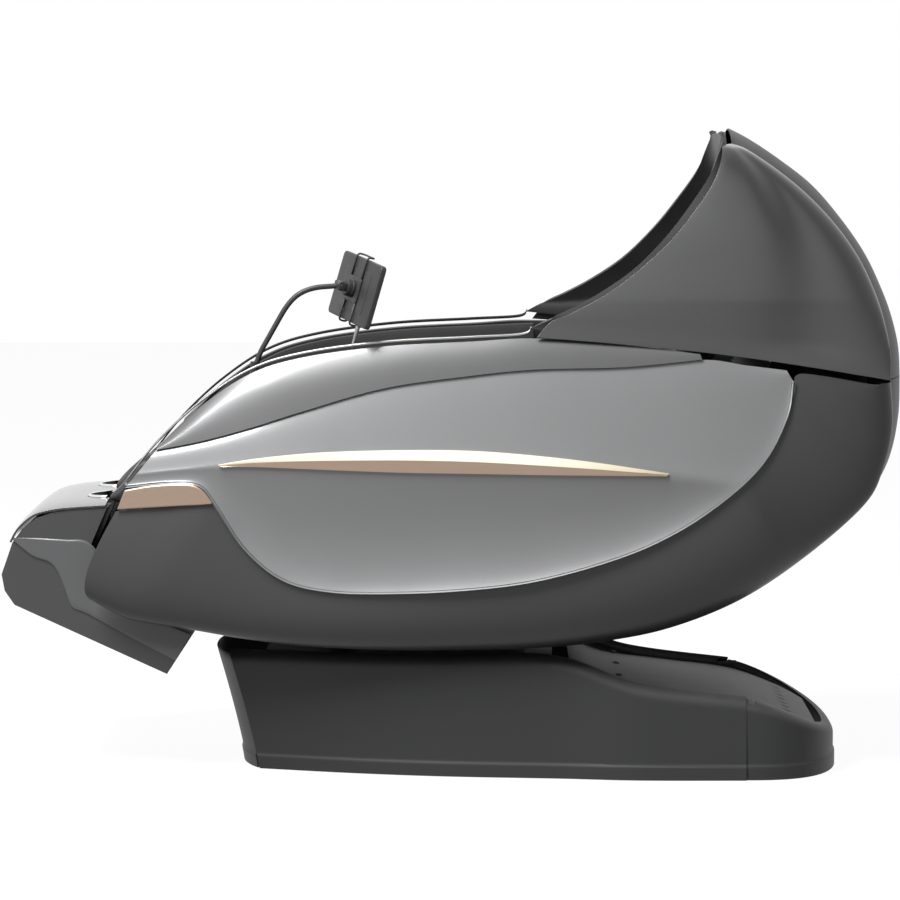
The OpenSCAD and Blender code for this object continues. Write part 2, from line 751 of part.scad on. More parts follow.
module foot_roller_shape() {
    in_leg()
        for (x = [-well_x, well_x])
            union() {
                cross_bar(x - well_w / 2 + 4, x + well_w / 2 - 4,
                          foot_roller_n, foot_roller_s, foot_roller_r);
                cross_bar(x - well_w / 2 - 7, x + well_w / 2 + 7,
                          foot_roller_n, foot_roller_s, roller_pin_r);
            }
}

// ---------- lifting actuators ----------
module actuator_cylinder(from, to, len, r, pin_r) {
    d = unit(to - from);
    difference() {
        union() {
            cross_bar(-13, 13, from.x, from.y, 15);
            rod([0, from.x, from.y],
                [0, from.x + 34 * d.x, from.y + 34 * d.y], 12);
            rod([0, from.x + 30 * d.x, from.y + 30 * d.y],
                [0, from.x + len * d.x, from.y + len * d.y], r);
        }
        cross_bar(-14, 14, from.x, from.y, pin_r + run_fit);
        rod([0, from.x + 50 * d.x, from.y + 50 * d.y],
            [0, from.x + (len + 5) * d.x, from.y + (len + 5) * d.y], 10 + run_fit);
    }
}
module actuator_rod(from, to, start, pin_r) {
    d = unit(to - from);
    rod([0, from.x + start * d.x, from.y + start * d.y],
        [0, to.x - 10 * d.x, to.y - 10 * d.y], 10);
    cross_bar(-12, 12, to.x, to.y, 13);
    cross_bar(-26, 26, to.x, to.y, pin_r);
}
module tilt_cylinder_shape() { actuator_cylinder(tilt_cyl_end, tilt_rod_end, 205, 22, 8); }
module tilt_rod_shape() { actuator_rod(tilt_cyl_end, tilt_rod_end, 54, 6); }
module leg_cylinder_shape() { actuator_cylinder(leg_cyl_end, leg_rod_end, 205, 20, 6); }
module leg_rod_shape() { actuator_rod(leg_cyl_end, leg_rod_end, 54, 5); }

// ---------- base ----------
plan_line = [[-384, base_front_half_w], [-200, 225], [-24, 262], [191, 285],
             [343, base_half_w], [545, base_half_w]];
wall_top = [[-384, 206], [-200, 206], [-24, 207], [150, 208], [300, 158], [545, 132]];
nose_rake = 60;
function nose_y(z) = -nose_rake * pow(z / 240, 1.2);
base_side_face = function (u, v)
    let (a = along(plan_line, u), top = along(wall_top, u).y,
         w = min(1, v / 0.75), c = max(0, (v - 0.75) / 0.25),
         z = lerp(foot_h + 2, top, w) + 26 * sin(90 * c),
         shift = nose_y(z) * pow(1 - u, 2))
    [a.y + 12 * w * (1 - u) - 30 * (1 - cos(90 * c)) - 4 * w * u, a.x + shift, z];
module base_side() { shell(base_side_face, 16, 8, base_wall); }
module base_nose_shape() {
    shell(function (u, v)
              let (t = 1 - 2 * u, z = lerp(foot_h + 2, 226, v),
                   w = base_front_half_w + 12 * min(1, v / 0.9) - base_wall - 0.7
                       - 34 * (1 - sqrt(1 - pow(max(0, z - 206) / 26, 2))))
              [-t * w, -384 - panel_gap + nose_y(z) - 34 * (1 - pow(abs(t), 2.6)), z],
          10, 6, base_wall);
}
module base_tail_shape() {
    difference() {
        base_tail_wall();
        translate([-60.5, 690, 19.5])
            cube([91, 60, 33]);
    }
}
module base_tail_wall() {
    shell(function (u, v)
              let (t = 180 * u, c = cos(t), w = min(1, v / 0.7), k = max(0, (v - 0.7) / 0.3),
                   far = pow(sin(t), 0.75),
                   top = 132 - 72 * pow(far, 1.3),
                   z = lerp(foot_h + 2, top, w) + 22 * sin(90 * k),
                   r = 1 - 0.12 * (1 - cos(90 * k)))
              [(base_half_w - 4) * sign(c) * pow(abs(c), 0.75) * r,
               545 + panel_gap + 184 * far * r, z],
          16, 6, base_wall);
}
module base_deck_shape() {
    difference() {
        intersection() {
            side_slab(-260, 260)
                polygon([[-400, 224], [100, 224], [128, 214], [214, 66], [236, 58], [700, 58],
                         [700, 61], [237, 61], [217, 69], [131, 217], [100, 228], [-400, 228]]);
            linear_extrude(300)
                polygon(concat([for (p = curve(plan_line, 12)) [p.y - 34, p.x + 12]],
                               [[base_half_w - 60, 600], [150, 690], [-150, 690],
                                [60 - base_half_w, 600]],
                               [for (i = [12:-1:0]) let (p = along(plan_line, i / 12))
                                [34 - p.y, p.x + 12]]));
        }
        for (x = [-tower_x - 26, tower_x - 24])
            translate([x, 100, 60])
                cube([50, 110, 200]);
        translate([-40, -390, 200])
            cube([80, 300, 60]);
    }
}
module base_frame_shape() {
    // floor frame
    for (x = [-170, 140])
        translate([x, -330, foot_h + 4])
            cube([30, 900, 30]);
    for (y = [-330, -215, 110, 540])
        translate([-140, y, foot_h + 4])
            cube([280, 30, 30]);
    // outriggers that carry the base covers
    for (u = [0.1, 0.6, 1]) {
        at = base_side_face(u, 0.06);
        near = base_side_face(u - 0.02, 0.06);
        translate([-near.x + base_wall + 0.9, near.y, foot_h + 4])
            cube([2 * (near.x - base_wall - 0.9), at.y - near.y, 24]);
    }
    translate([-240, 130, foot_h + 4])
        cube([480, 44, 30]);
    // rests under the tray and the control box
    for (x = [-165, 145])
        for (y = [300, 480])
            translate([x, y, foot_h + 30])
                cube([20, 30, 57.7 - foot_h - 30]);
    for (y = [270, 400])
        translate([-141, y, foot_h + 4])
            cube([282, 20, 3.6]);
    both_sides() {
        // tilt tower with its pin
        translate([tower_x, tilt_pivot.x - 26, foot_h + 20])
            cube([tower_wall, 52, tilt_pivot.y - foot_h - 20]);
        cross_bar(tower_x, tower_x + tower_wall, tilt_pivot.x, tilt_pivot.y, 24);
        cross_bar(lug_x - 3, tower_x + 1, tilt_pivot.x, tilt_pivot.y, tilt_pin_r);
    }
    // clevis of the tilt actuator
    for (x = [-24, 16])
        difference() {
            union() {
                cross_bar(x, x + 8, tilt_cyl_end.x, tilt_cyl_end.y, 18);
                translate([x, tilt_cyl_end.x - 18, foot_h + 30])
                    cube([8, 36, tilt_cyl_end.y - foot_h - 30]);
            }
        }
    cross_bar(-20, 20, tilt_cyl_end.x, tilt_cyl_end.y, 8);
}
module base_feet_shape() {
    for (x = [-155, 155])
        for (y = [-300, 125, 555])
            translate([x, y, 0])
                cylinder(r = foot_r, h = foot_h + 3.7);
}
module control_box_shape() {
    translate([-110, 240, foot_h + 8])
        cube([220, 200, 36]);
}
inlet_y = 730;
module power_inlet_shape() {
    difference() {
        translate([-60, inlet_y - 32, 20])
            cube([90, 32, 32]);
        // plug well with its three flat pins, and the rocker's opening
        translate([-54, inlet_y - 22, 24])
            cube([44, 30, 24]);
        translate([switch_x - 1, inlet_y - 22, 23])
            cube([switch_w + 2, 30, 26]);
        cross_bar(switch_x - 4, switch_x + switch_w + 4, inlet_y - 8, 36, 1.5 + run_fit);
    }
    for (x = [-44, -32, -20])
        translate([x - 1, inlet_y - 24, 33])
            cube([2, 18, 6]);
}
switch_x = 4;
switch_w = 20;
module power_switch_shape() {
    cross_bar(switch_x, switch_x + switch_w, inlet_y - 8, 36, 10);
    cross_bar(switch_x - 3, switch_x + switch_w + 3, inlet_y - 8, 36, 1.5);
}

// ---------- tablet arm ----------
arm_x = ridge_half_w - 90;
arm_foot = [arm_x, -383, 770];
arm_knee = [arm_x, -312, 918];
arm_neck = [arm_x - 2, -280, 934];
arm_head = [arm_x - 8, -222, 938];
eye_r = 9;
eye_lift = 30;
joint_r = 16.5;
tablet_pin_r = 3;
tab_long = unit([177, 76, -25]);
tab_up0 = unit([2, 33, 115]);
tab_out = unit(cross(tab_long, tab_up0));
tab_up = cross(tab_out, tab_long);
tablet_mid = arm_head - (tablet_t / 2 + eye_lift) * tab_out;
module at_tablet() {
    multmatrix([[tab_long.x, tab_up.x, tab_out.x, tablet_mid.x],
                [tab_long.y, tab_up.y, tab_out.y, tablet_mid.y],
                [tab_long.z, tab_up.z, tab_out.z, tablet_mid.z]])
        children();
}
arm_seat_x = liner_face(2 / 6, 0.22).x - 0.5;
module arm_socket_shape() {
    translate([arm_foot.x, arm_foot.y, arm_foot.z - 56])
        difference() {
            union() {
                cylinder(r = 14, h = 46);
                translate([0, -9, 0])
                    cube([arm_seat_x - arm_foot.x, 18, 30]);
            }
            translate([0, 0, 6])
                cylinder(r = arm_r + 3 + run_fit, h = 60);
        }
}
module arm_tube_shape() {
    translate([arm_foot.x, arm_foot.y, arm_foot.z - 46])
        cylinder(r = arm_r + 3, h = 72);
    rod(arm_foot + [0, 0, 20], arm_knee, arm_r);
    translate(arm_knee)
        sphere(r = arm_r + 2);
    rod(arm_knee, arm_neck, arm_r);
    translate(arm_neck)
        sphere(r = arm_r + 2);
    rod(arm_neck, arm_head + 6.2 * unit(arm_neck - arm_head), arm_r);
    difference() {
        tilt_pin(eye_r, eye_r);
        tilt_pin(eye_r + 2, tablet_pin_r + run_fit);
    }
}
// round bar along the tablet's length, through the arm's eye
module tilt_pin(reach, r) {
    rod(arm_head - reach * tab_long, arm_head + reach * tab_long, r);
}
module arm_joint_shape() {
    // round block slotted for the arm's eye, with the pin across its two ears
    at_tablet()
        difference() {
            translate([0, 0, tablet_t / 2 + 4.3])
                cylinder(r = joint_r, h = eye_lift + 1.7);
            translate([-eye_r - 0.35, -joint_r - 1, tablet_t / 2 + eye_lift - eye_r - 0.6])
                cube([2 * eye_r + 0.7, 2 * joint_r + 2, 40]);
        }
    tilt_pin(eye_r + 4, tablet_pin_r);
}
module tablet_clamp_shape() {
    at_tablet() {
        translate([-30, -24, tablet_t / 2 + 0.3])
            cube([60, 48, 4]);
        for (y = [-tablet_h / 2 - 4, tablet_h / 2 + 1])
            translate([-34, y, -tablet_t / 2])
                cube([68, 3, tablet_t + 4]);
    }
}
module tablet_shape() {
    at_tablet()
        translate([-tablet_w / 2, -tablet_h / 2, -tablet_t / 2])
            cube([tablet_w, tablet_h, tablet_t]);
}
module tablet_lead_shape() {
    // plug and strain relief under the tablet's lower edge
    at_tablet()
        translate([52, -tablet_h / 2 - 0.3, 0])
            rotate([90, 0, 0])
                cylinder(r1 = 4.5, r2 = 2.5, h = 44);
}
module air_pump_shape() {
    translate([48, -172, frame_z + tube_w + 0.3])
        cube([140, 136, 34]);
}

// ---------- nodes ----------
module base_frame() { color(steel) base_frame_shape(); }
module base_side_left() { color(base_gray) base_side(); }
module base_side_right() { color(base_gray) mirror([1, 0, 0]) base_side(); }
module base_nose() { color(base_gray) base_nose_shape(); }
module base_deck() { color(dark_gray) base_deck_shape(); }
module base_tail_cap() { color(base_gray) base_tail_shape(); }
module base_feet() { color(black) base_feet_shape(); }
module power_inlet() { color(black) power_inlet_shape(); }
module power_switch() { color(black) power_switch_shape(); }
module control_box() { color(steel) control_box_shape(); }
module tilt_cylinder() { color(black) tilt_cylinder_shape(); }
module tilt_rod() { color(steel) tilt_rod_shape(); }
module seat_frame() { color(steel) seat_frame_shape(); }
module back_rails() { color(steel) back_rails_shape(); }
module belly_pan() { color(dark_gray) belly_pan_shape(); }
module led_strip_left() { color(glow) led_strip(); }
module led_strip_right() { color(glow) mirror([1, 0, 0]) led_strip(); }
module copper_spear_left() { color(copper) copper_spear(); }
module copper_spear_right() { color(copper) mirror([1, 0, 0]) copper_spear(); }
module metal_trim_left() { color(copper) metal_trim(); }
module metal_trim_right() { color(copper) mirror([1, 0, 0]) metal_trim(); }
module armrest_left() { color(soft_black) armrest(); }
module armrest_right() { color(soft_black) mirror([1, 0, 0]) armrest(); }
module seat_cushion() { color(soft_black) seat_cushion_shape(); }
module back_cushion() { color(soft_black) back_cushion_shape(); }
module head_pillow() { color(soft_black) head_pillow_shape(); }
module air_pump() { color(steel) air_pump_shape(); }
module carriage() { color(steel) carriage_shape(); }
module climb_pinions() { color(steel) climb_pinions_shape(); }
module knead_arm_left() { color(black) knead_arm_shape(); }
module knead_arm_right() { color(black) mirror([1, 0, 0]) knead_arm_shape(); }
module rollers_upper() { color(dark_gray) roller_pair(112); }
module rollers_lower() { color(dark_gray) roller_pair(-2); }
module leg_frame() { color(steel) leg_frame_shape(); }
module calf_shell() { color(black) calf_shell_shape(); }
module calf_pad() { color(soft_black) calf_pad_shape(); }
module leg_cylinder() { color(black) leg_cylinder_shape(); }
module leg_rod() { color(steel) leg_rod_shape(); }
module foot_shell() { color(dark_gray) foot_shell_shape(); }
module foot_cap() { color(black) foot_cap_shape(); }
module foot_rings() { color(steel) foot_rings_shape(); }
module foot_pad() { color(soft_black) foot_pad_shape(); }
module foot_roller() { color(dark_gray) foot_roller_shape(); }
module arm_socket() { color(dark_gray) arm_socket_shape(); }
module arm_tube() { color(steel) arm_tube_shape(); }
module arm_joint() { color(black) arm_joint_shape(); }
module tablet_clamp() { color(dark_gray) tablet_clamp_shape(); }
module tablet() { color(black) tablet_shape(); }
module tablet_lead() { color(shell_gray) tablet_lead_shape(); }

module belly_pan_shape() {
    steps = [for (i = [4.4:0.85:12.91]) i / 16];
    wall = [for (u = steps) along(shell_low, u) + [0, 3]];
    difference() {
        intersection() {
            side_slab(-belly_w(0), belly_w(0))
                polygon(concat(wall, [for (i = [len(wall) - 1:-1:0]) wall[i] + [-1.5, 3.5]]));
            linear_extrude(700)
                polygon(concat([for (u = steps) [belly_w(u) - 1.2, along(shell_low, u).x]],
                               [for (i = [len(steps) - 1:-1:0])
                                   [1.2 - belly_w(steps[i]), along(shell_low, steps[i]).x]]));
        }
        both_sides()
            translate([tower_x - 10, 96, 200])
                cube([tower_wall + 24, 124, 120]);
        translate([-40, -380, 200])
            cube([80, 300, 120]);
    }
}

base_frame();
base_side_left();
base_side_right();
base_nose();
base_deck();
base_tail_cap();
base_feet();
power_inlet();
power_switch();
control_box();
tilt_cylinder();
tilt_rod();
seat_frame();
back_rails();
side_panel_left();
side_panel_right();
shoulder_panel_left();
shoulder_panel_right();
lower_shell_left();
lower_shell_right();
belly_pan();
back_cover();
hood_side_left();
hood_side_right();
hood_spine();
hood_lining();
led_strip_left();
led_strip_right();
copper_spear_left();
copper_spear_right();
metal_trim_left();
metal_trim_right();
armrest_left();
armrest_right();
seat_cushion();
back_cushion();
head_pillow();
air_pump();
carriage();
climb_pinions();
knead_arm_left();
knead_arm_right();
rollers_upper();
rollers_lower();
leg_frame();
calf_shell();
calf_pad();
leg_cylinder();
leg_rod();
foot_shell();
foot_cap();
foot_rings();
foot_pad();
foot_roller();
arm_socket();
arm_tube();
arm_joint();
tablet_clamp();
tablet();
tablet_lead();
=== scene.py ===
# %% [markdown]
# # A reclining massage chair
# The chair is a capsule that rocks on a low base: two side panels, a hood over
# the head, soft cushions inside, a foot unit that slides out and a small tablet
# on a bent arm. The steel and the moving parts come from the CAD frame; this
# lesson makes the outer skins, the soft goods and every finish around it.

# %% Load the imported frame
import math

import bmesh
import bpy
from mathutils import Matrix, Vector, noise


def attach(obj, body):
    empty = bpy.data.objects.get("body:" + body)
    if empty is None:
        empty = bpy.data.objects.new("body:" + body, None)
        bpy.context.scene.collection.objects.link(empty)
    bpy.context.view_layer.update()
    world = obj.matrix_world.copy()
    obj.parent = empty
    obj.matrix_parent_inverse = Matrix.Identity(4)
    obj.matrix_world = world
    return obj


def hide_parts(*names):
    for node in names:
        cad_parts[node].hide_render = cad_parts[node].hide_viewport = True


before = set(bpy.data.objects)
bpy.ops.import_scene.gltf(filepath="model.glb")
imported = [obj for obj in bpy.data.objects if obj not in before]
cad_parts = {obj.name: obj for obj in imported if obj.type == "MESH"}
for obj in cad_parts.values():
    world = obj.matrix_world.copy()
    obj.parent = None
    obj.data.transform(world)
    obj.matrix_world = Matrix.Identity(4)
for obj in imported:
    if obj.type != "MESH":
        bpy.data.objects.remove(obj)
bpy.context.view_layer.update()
MM = 0.001
print("nodes in the frame:", len(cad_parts))

# %% Helpers for node groups
def new_group(name, inputs, outputs):
    group = bpy.data.node_groups.new(name, "ShaderNodeTree")
    for label, value in inputs:
        socket = group.interface.new_socket(label, in_out="INPUT", socket_type="NodeSocketFloat")
        socket.default_value = value
    for label in outputs:
        group.interface.new_socket(label, in_out="OUTPUT", socket_type="NodeSocketFloat")
    return group, group.nodes.new("NodeGroupInput"), group.nodes.new("NodeGroupOutput")


def node(tree, kind, links=(), **values):
    made = tree.nodes.new(kind)
    for key, value in values.items():
        if hasattr(made, key):
            setattr(made, key, value)
        else:
            made.inputs[key.replace("_", " ")].default_value = value
    for socket, source in links:
        tree.links.new(source, made.inputs[socket])
    return made


def seen_or_mirrored(tree):
    """1 for rays from the camera, from mirrors and through glass, 0 for all others."""
    rays = node(tree, "ShaderNodeLightPath")
    first = node(tree, "ShaderNodeMath", [(0, rays.outputs["Is Camera Ray"]),
                                          (1, rays.outputs["Is Glossy Ray"])],
                 operation="MAXIMUM")
    return node(tree, "ShaderNodeMath", [(0, first.outputs[0]),
                                         (1, rays.outputs["Is Transmission Ray"])],
                operation="MAXIMUM").outputs[0]

# %% [markdown]
# ## Camera and light
# A long lens from the side keeps the capsule's outline almost parallel, as a
# product picture does. The lens and distance belong together: 159 mm at 7.8 m
# fills a square frame with a chair 1.7 m long. Three soft lamps give the wide,
# calm reflections that lacquer needs, and the world stays white.

# %% Camera
LENS = 159.4
EYE, TARGET = (7.77, 0.0404, 1.265), (0, -0.0183, 0.6032)
camera_data = bpy.data.cameras.new("side_camera")
camera_data.lens = LENS
camera_data.clip_end = 60
side_camera = bpy.data.objects.new("side_camera", camera_data)
bpy.context.scene.collection.objects.link(side_camera)
side_camera.location = EYE
aim = Vector(TARGET) - side_camera.location
side_camera.rotation_euler = aim.to_track_quat("-Z", "Y").to_euler()
bpy.context.scene.camera = side_camera
bpy.context.scene.view_settings.view_transform = "Standard"
print("camera pitch", round(math.degrees(math.asin(aim.normalized().z)), 2))


# %% Lamps
def soft_lamp(name, place, aim_at, size, watts):
    lamp = bpy.data.lights.new(name, "AREA")
    lamp.shape = "RECTANGLE"
    lamp.size, lamp.size_y = size
    lamp.energy = watts
    holder = bpy.data.objects.new(name, lamp)
    bpy.context.scene.collection.objects.link(holder)
    holder.location = place
    holder.rotation_euler = (Vector(aim_at) - Vector(place)).to_track_quat("-Z", "Y").to_euler()
    return holder


soft_lamp("lamp_above", (2.1, -1.5, 3.7), (0.3, 0.0, 0.7), (1.2, 2.4), 330)
soft_lamp("lamp_behind", (-2.6, 0.2, 2.8), (0, 0.1, 0.7), (2.4, 2.0), 10)
soft_lamp("lamp_feet", (2.0, -3.4, 1.8), (0, -0.3, 0.5), (1.6, 1.6), 16)

# %% White world: full white to the eye and to mirrors, a faint fill to everything else
WORLD_FILL = 0.10
world = bpy.data.worlds.new("white_studio")
bpy.context.scene.world = world
world.use_nodes = True
sky = world.node_tree
strength_mix = node(sky, "ShaderNodeMapRange", [("Value", seen_or_mirrored(sky))])
strength_mix.inputs["To Min"].default_value = WORLD_FILL
strength_mix.inputs["To Max"].default_value = 1.0
sky.links.new(strength_mix.outputs[0], sky.nodes["Background"].inputs["Strength"])
sky.nodes["Background"].inputs["Color"].default_value = (1, 1, 1, 1)

# %% [markdown]
# ## Shader groups
# Five small node groups serve all the finishes, so that a lacquer, a leather
# and a steel share the same grain and dust and differ only in their values.
# Each group gives out masks and heights; the Principled shader stays in the
# material, where an exporter can read it.


# %% Orange peel: the faint waviness of lacquer and moulded skins
peel, peel_in, peel_out = new_group("lacquer_peel", [("Scale", 120), ("Patch", 3)],
                                    ["Height", "Variation"])
peel_place = node(peel, "ShaderNodeTexCoord")
peel_noise = node(peel, "ShaderNodeTexNoise", [("Vector", peel_place.outputs["Object"]),
                                               ("Scale", peel_in.outputs["Scale"])], Detail=2.0)
peel_patch = node(peel, "ShaderNodeTexNoise", [("Vector", peel_place.outputs["Object"]),
                                               ("Scale", peel_in.outputs["Patch"])], Detail=4.0)
peel.links.new(peel_noise.outputs["Fac"], peel_out.inputs["Height"])
peel.links.new(peel_patch.outputs["Fac"], peel_out.inputs["Variation"])

# %% Moulded grain: the fine bumps of textured plastic
grain, grain_in, grain_out = new_group("moulded_grain", [("Scale", 900)], ["Height", "Speckle"])
grain_place = node(grain, "ShaderNodeTexCoord")
grain_cells = node(grain, "ShaderNodeTexVoronoi", [("Vector", grain_place.outputs["Object"]),
                                                   ("Scale", grain_in.outputs["Scale"])])
grain_noise = node(grain, "ShaderNodeTexNoise", [("Vector", grain_place.outputs["Object"]),
                                                 ("Scale", grain_in.outputs["Scale"])],
                   Detail=3.0)
grain.links.new(grain_cells.outputs["Distance"], grain_out.inputs["Height"])
grain.links.new(grain_noise.outputs["Fac"], grain_out.inputs["Speckle"])

# %% Leather: cells with creases between them, and a slow change of tone
hide, hide_in, hide_out = new_group("leather_grain", [("Scale", 420), ("Crease", 0.25)],
                                    ["Height", "Tone"])
hide_place = node(hide, "ShaderNodeTexCoord")
hide_cells = node(hide, "ShaderNodeTexVoronoi", [("Vector", hide_place.outputs["Object"]),
                                                 ("Scale", hide_in.outputs["Scale"])],
                  feature="DISTANCE_TO_EDGE")
hide_ridge = node(hide, "ShaderNodeMapRange", [("Value", hide_cells.outputs["Distance"]),
                                               ("From Max", hide_in.outputs["Crease"])])
hide_fine = node(hide, "ShaderNodeTexNoise", [("Vector", hide_place.outputs["Object"])],
                 Scale=1600.0, Detail=2.0)
hide_sum = node(hide, "ShaderNodeMath", [(0, hide_ridge.outputs[0]),
                                         (1, hide_fine.outputs["Fac"])],
                operation="MULTIPLY")
hide_tone = node(hide, "ShaderNodeTexNoise", [("Vector", hide_place.outputs["Object"])],
                 Scale=7.0, Detail=5.0)
hide.links.new(hide_sum.outputs[0], hide_out.inputs["Height"])
hide.links.new(hide_tone.outputs["Fac"], hide_out.inputs["Tone"])

# %% Brushing: long fine lines along one axis of the piece
brush, brush_in, brush_out = new_group("brushed_lines", [("Across", 900), ("Length", 12)],
                                       ["Height", "Streak"])
brush_place = node(brush, "ShaderNodeTexCoord")
brush_split = node(brush, "ShaderNodeSeparateXYZ", [(0, brush_place.outputs["Object"])])
brush_cross = node(brush, "ShaderNodeMath", [(0, brush_split.outputs["Z"]),
                                             (1, brush_in.outputs["Across"])],
                   operation="MULTIPLY")
brush_long = node(brush, "ShaderNodeMath", [(0, brush_split.outputs["Y"]),
                                            (1, brush_in.outputs["Length"])],
                  operation="MULTIPLY")
brush_side = node(brush, "ShaderNodeMath", [(0, brush_split.outputs["X"]),
                                            (1, brush_in.outputs["Across"])],
                  operation="MULTIPLY")
brush_join = node(brush, "ShaderNodeCombineXYZ", [("X", brush_side.outputs[0]),
                                                  ("Y", brush_long.outputs[0]),
                                                  ("Z", brush_cross.outputs[0])])
brush_noise = node(brush, "ShaderNodeTexNoise", [("Vector", brush_join.outputs[0])],
                   Scale=1.0, Detail=4.0)
brush.links.new(brush_noise.outputs["Fac"], brush_out.inputs["Height"])
brush.links.new(brush_noise.outputs["Fac"], brush_out.inputs["Streak"])

# %% Dust: a thin haze that settles on faces that look up
dust, dust_in, dust_out = new_group("settled_dust", [("Amount", 0.1)], ["Mask"])
dust_geometry = node(dust, "ShaderNodeNewGeometry")
dust_up = node(dust, "ShaderNodeSeparateXYZ", [(0, dust_geometry.outputs["Normal"])])
dust_place = node(dust, "ShaderNodeTexCoord")
dust_noise = node(dust, "ShaderNodeTexNoise", [("Vector", dust_place.outputs["Object"])],
                  Scale=35.0, Detail=6.0)
dust_level = node(dust, "ShaderNodeMapRange", [("Value", dust_up.outputs["Z"])])
dust_level.inputs["From Min"].default_value = 0.3
dust_cloud = node(dust, "ShaderNodeMath", [(0, dust_level.outputs[0]),
                                           (1, dust_noise.outputs["Fac"])],
                  operation="MULTIPLY")
dust_mask = node(dust, "ShaderNodeMath", [(0, dust_cloud.outputs[0]),
                                          (1, dust_in.outputs["Amount"])],
                 operation="MULTIPLY")
dust.links.new(dust_mask.outputs[0], dust_out.inputs["Mask"])
print("shader groups:", [g.name for g in bpy.data.node_groups])

# %% [markdown]
# ## Finishes
# A finish is a Principled shader with a colour that drifts slightly, a
# roughness that follows the same patches, a bump from one of the groups and a
# veil of dust. One function wires this up; the values make lacquer, plastic,
# leather or metal of it.


# %% One function for all the finishes
def finish_of(name, color, second, rough, rough_drift=0.08, metallic=0.0, coat=0.0,
              group=None, out="Height", drift_out="Variation", bump=0.1, bump_height=0.0002,
              dusty=0.06, sheen=0.0, coat_rough=0.05, values=(), specular=0.5,
              turned_away_shade=None, turn_from=0.02, turn_to=0.3):
    material = bpy.data.materials.new(name)
    material.use_nodes = True
    tree = material.node_tree
    shader = tree.nodes["Principled BSDF"]
    shader.inputs["Metallic"].default_value = metallic
    shader.inputs["Coat Weight"].default_value = coat
    shader.inputs["Coat Roughness"].default_value = coat_rough
    shader.inputs["Sheen Weight"].default_value = sheen
    shader.inputs["Specular IOR Level"].default_value = specular
    pattern = node(tree, "ShaderNodeGroup", node_tree=group or peel)
    for key, value in values:
        pattern.inputs[key].default_value = value
    tint = node(tree, "ShaderNodeMix", [("Factor", pattern.outputs[drift_out])],
                data_type="RGBA")
    tint.inputs[6].default_value = (*color, 1)
    tint.inputs[7].default_value = (*second, 1)
    haze = node(tree, "ShaderNodeGroup", node_tree=dust)
    haze.inputs["Amount"].default_value = dusty
    dusted = node(tree, "ShaderNodeMix", [("Factor", haze.outputs["Mask"])], data_type="RGBA")
    tree.links.new(tint.outputs[2], dusted.inputs[6])
    # Painted shade: the base colour darkens towards a second colour where the surface turns away
    # from the eye.
    if turned_away_shade:
        facing_weight = node(tree, "ShaderNodeLayerWeight")
        turned = node(tree, "ShaderNodeMapRange", [("Value", facing_weight.outputs["Facing"])],
                      interpolation_type="SMOOTHSTEP")
        turned.inputs["From Min"].default_value = turn_from
        turned.inputs["From Max"].default_value = turn_to
        painted_shade_mix = node(tree, "ShaderNodeMix", [("Factor", turned.outputs[0])], data_type="RGBA")
        tree.links.new(tint.outputs[2], painted_shade_mix.inputs[6])
        painted_shade_mix.inputs[7].default_value = (*turned_away_shade, 1)
        tree.links.new(painted_shade_mix.outputs[2], dusted.inputs[6])
    dusted.inputs[7].default_value = (0.45, 0.44, 0.42, 1)
    tree.links.new(dusted.outputs[2], shader.inputs["Base Color"])
    gloss = node(tree, "ShaderNodeMapRange", [("Value", pattern.outputs[drift_out])])
    gloss.inputs["From Min"].default_value = 0.3
    gloss.inputs["From Max"].default_value = 0.7
    gloss.inputs["To Min"].default_value = rough - rough_drift / 2
    gloss.inputs["To Max"].default_value = rough + rough_drift / 2
    tree.links.new(gloss.outputs[0], shader.inputs["Roughness"])
    relief = node(tree, "ShaderNodeBump", [("Height", pattern.outputs[out])],
                  Strength=bump, Distance=bump_height)
    tree.links.new(relief.outputs["Normal"], shader.inputs["Normal"])
    return material


# %% The chair's finishes
panel_gray = finish_of("panel_gray", (0.185, 0.187, 0.190), (0.205, 0.207, 0.210), 0.34,
                       metallic=0.15, coat=0.25, coat_rough=0.12, bump=0.05,
                       bump_height=0.0004)
shoulder_gray = finish_of("shoulder_gray", (0.095, 0.096, 0.098), (0.110, 0.111, 0.113), 0.34,
                          metallic=0.15, coat=0.25, coat_rough=0.12, bump=0.05,
                          bump_height=0.0004)
# The hood's colour goes darker where it turns away from the eye: painted shade.
hood_gray = finish_of("hood_gray", (0.052, 0.0525, 0.0535), (0.060, 0.0605, 0.0615), 0.30,
                      coat=0.3, coat_rough=0.1, bump=0.05, bump_height=0.0004,
                      turned_away_shade=(0.006, 0.006, 0.007), turn_from=0.01, turn_to=0.22)
panel_dark = finish_of("panel_dark", (0.075, 0.076, 0.078), (0.085, 0.086, 0.088), 0.40,
                       coat=0.2, coat_rough=0.15, bump=0.05, bump_height=0.0004,
                       specular=0.4)
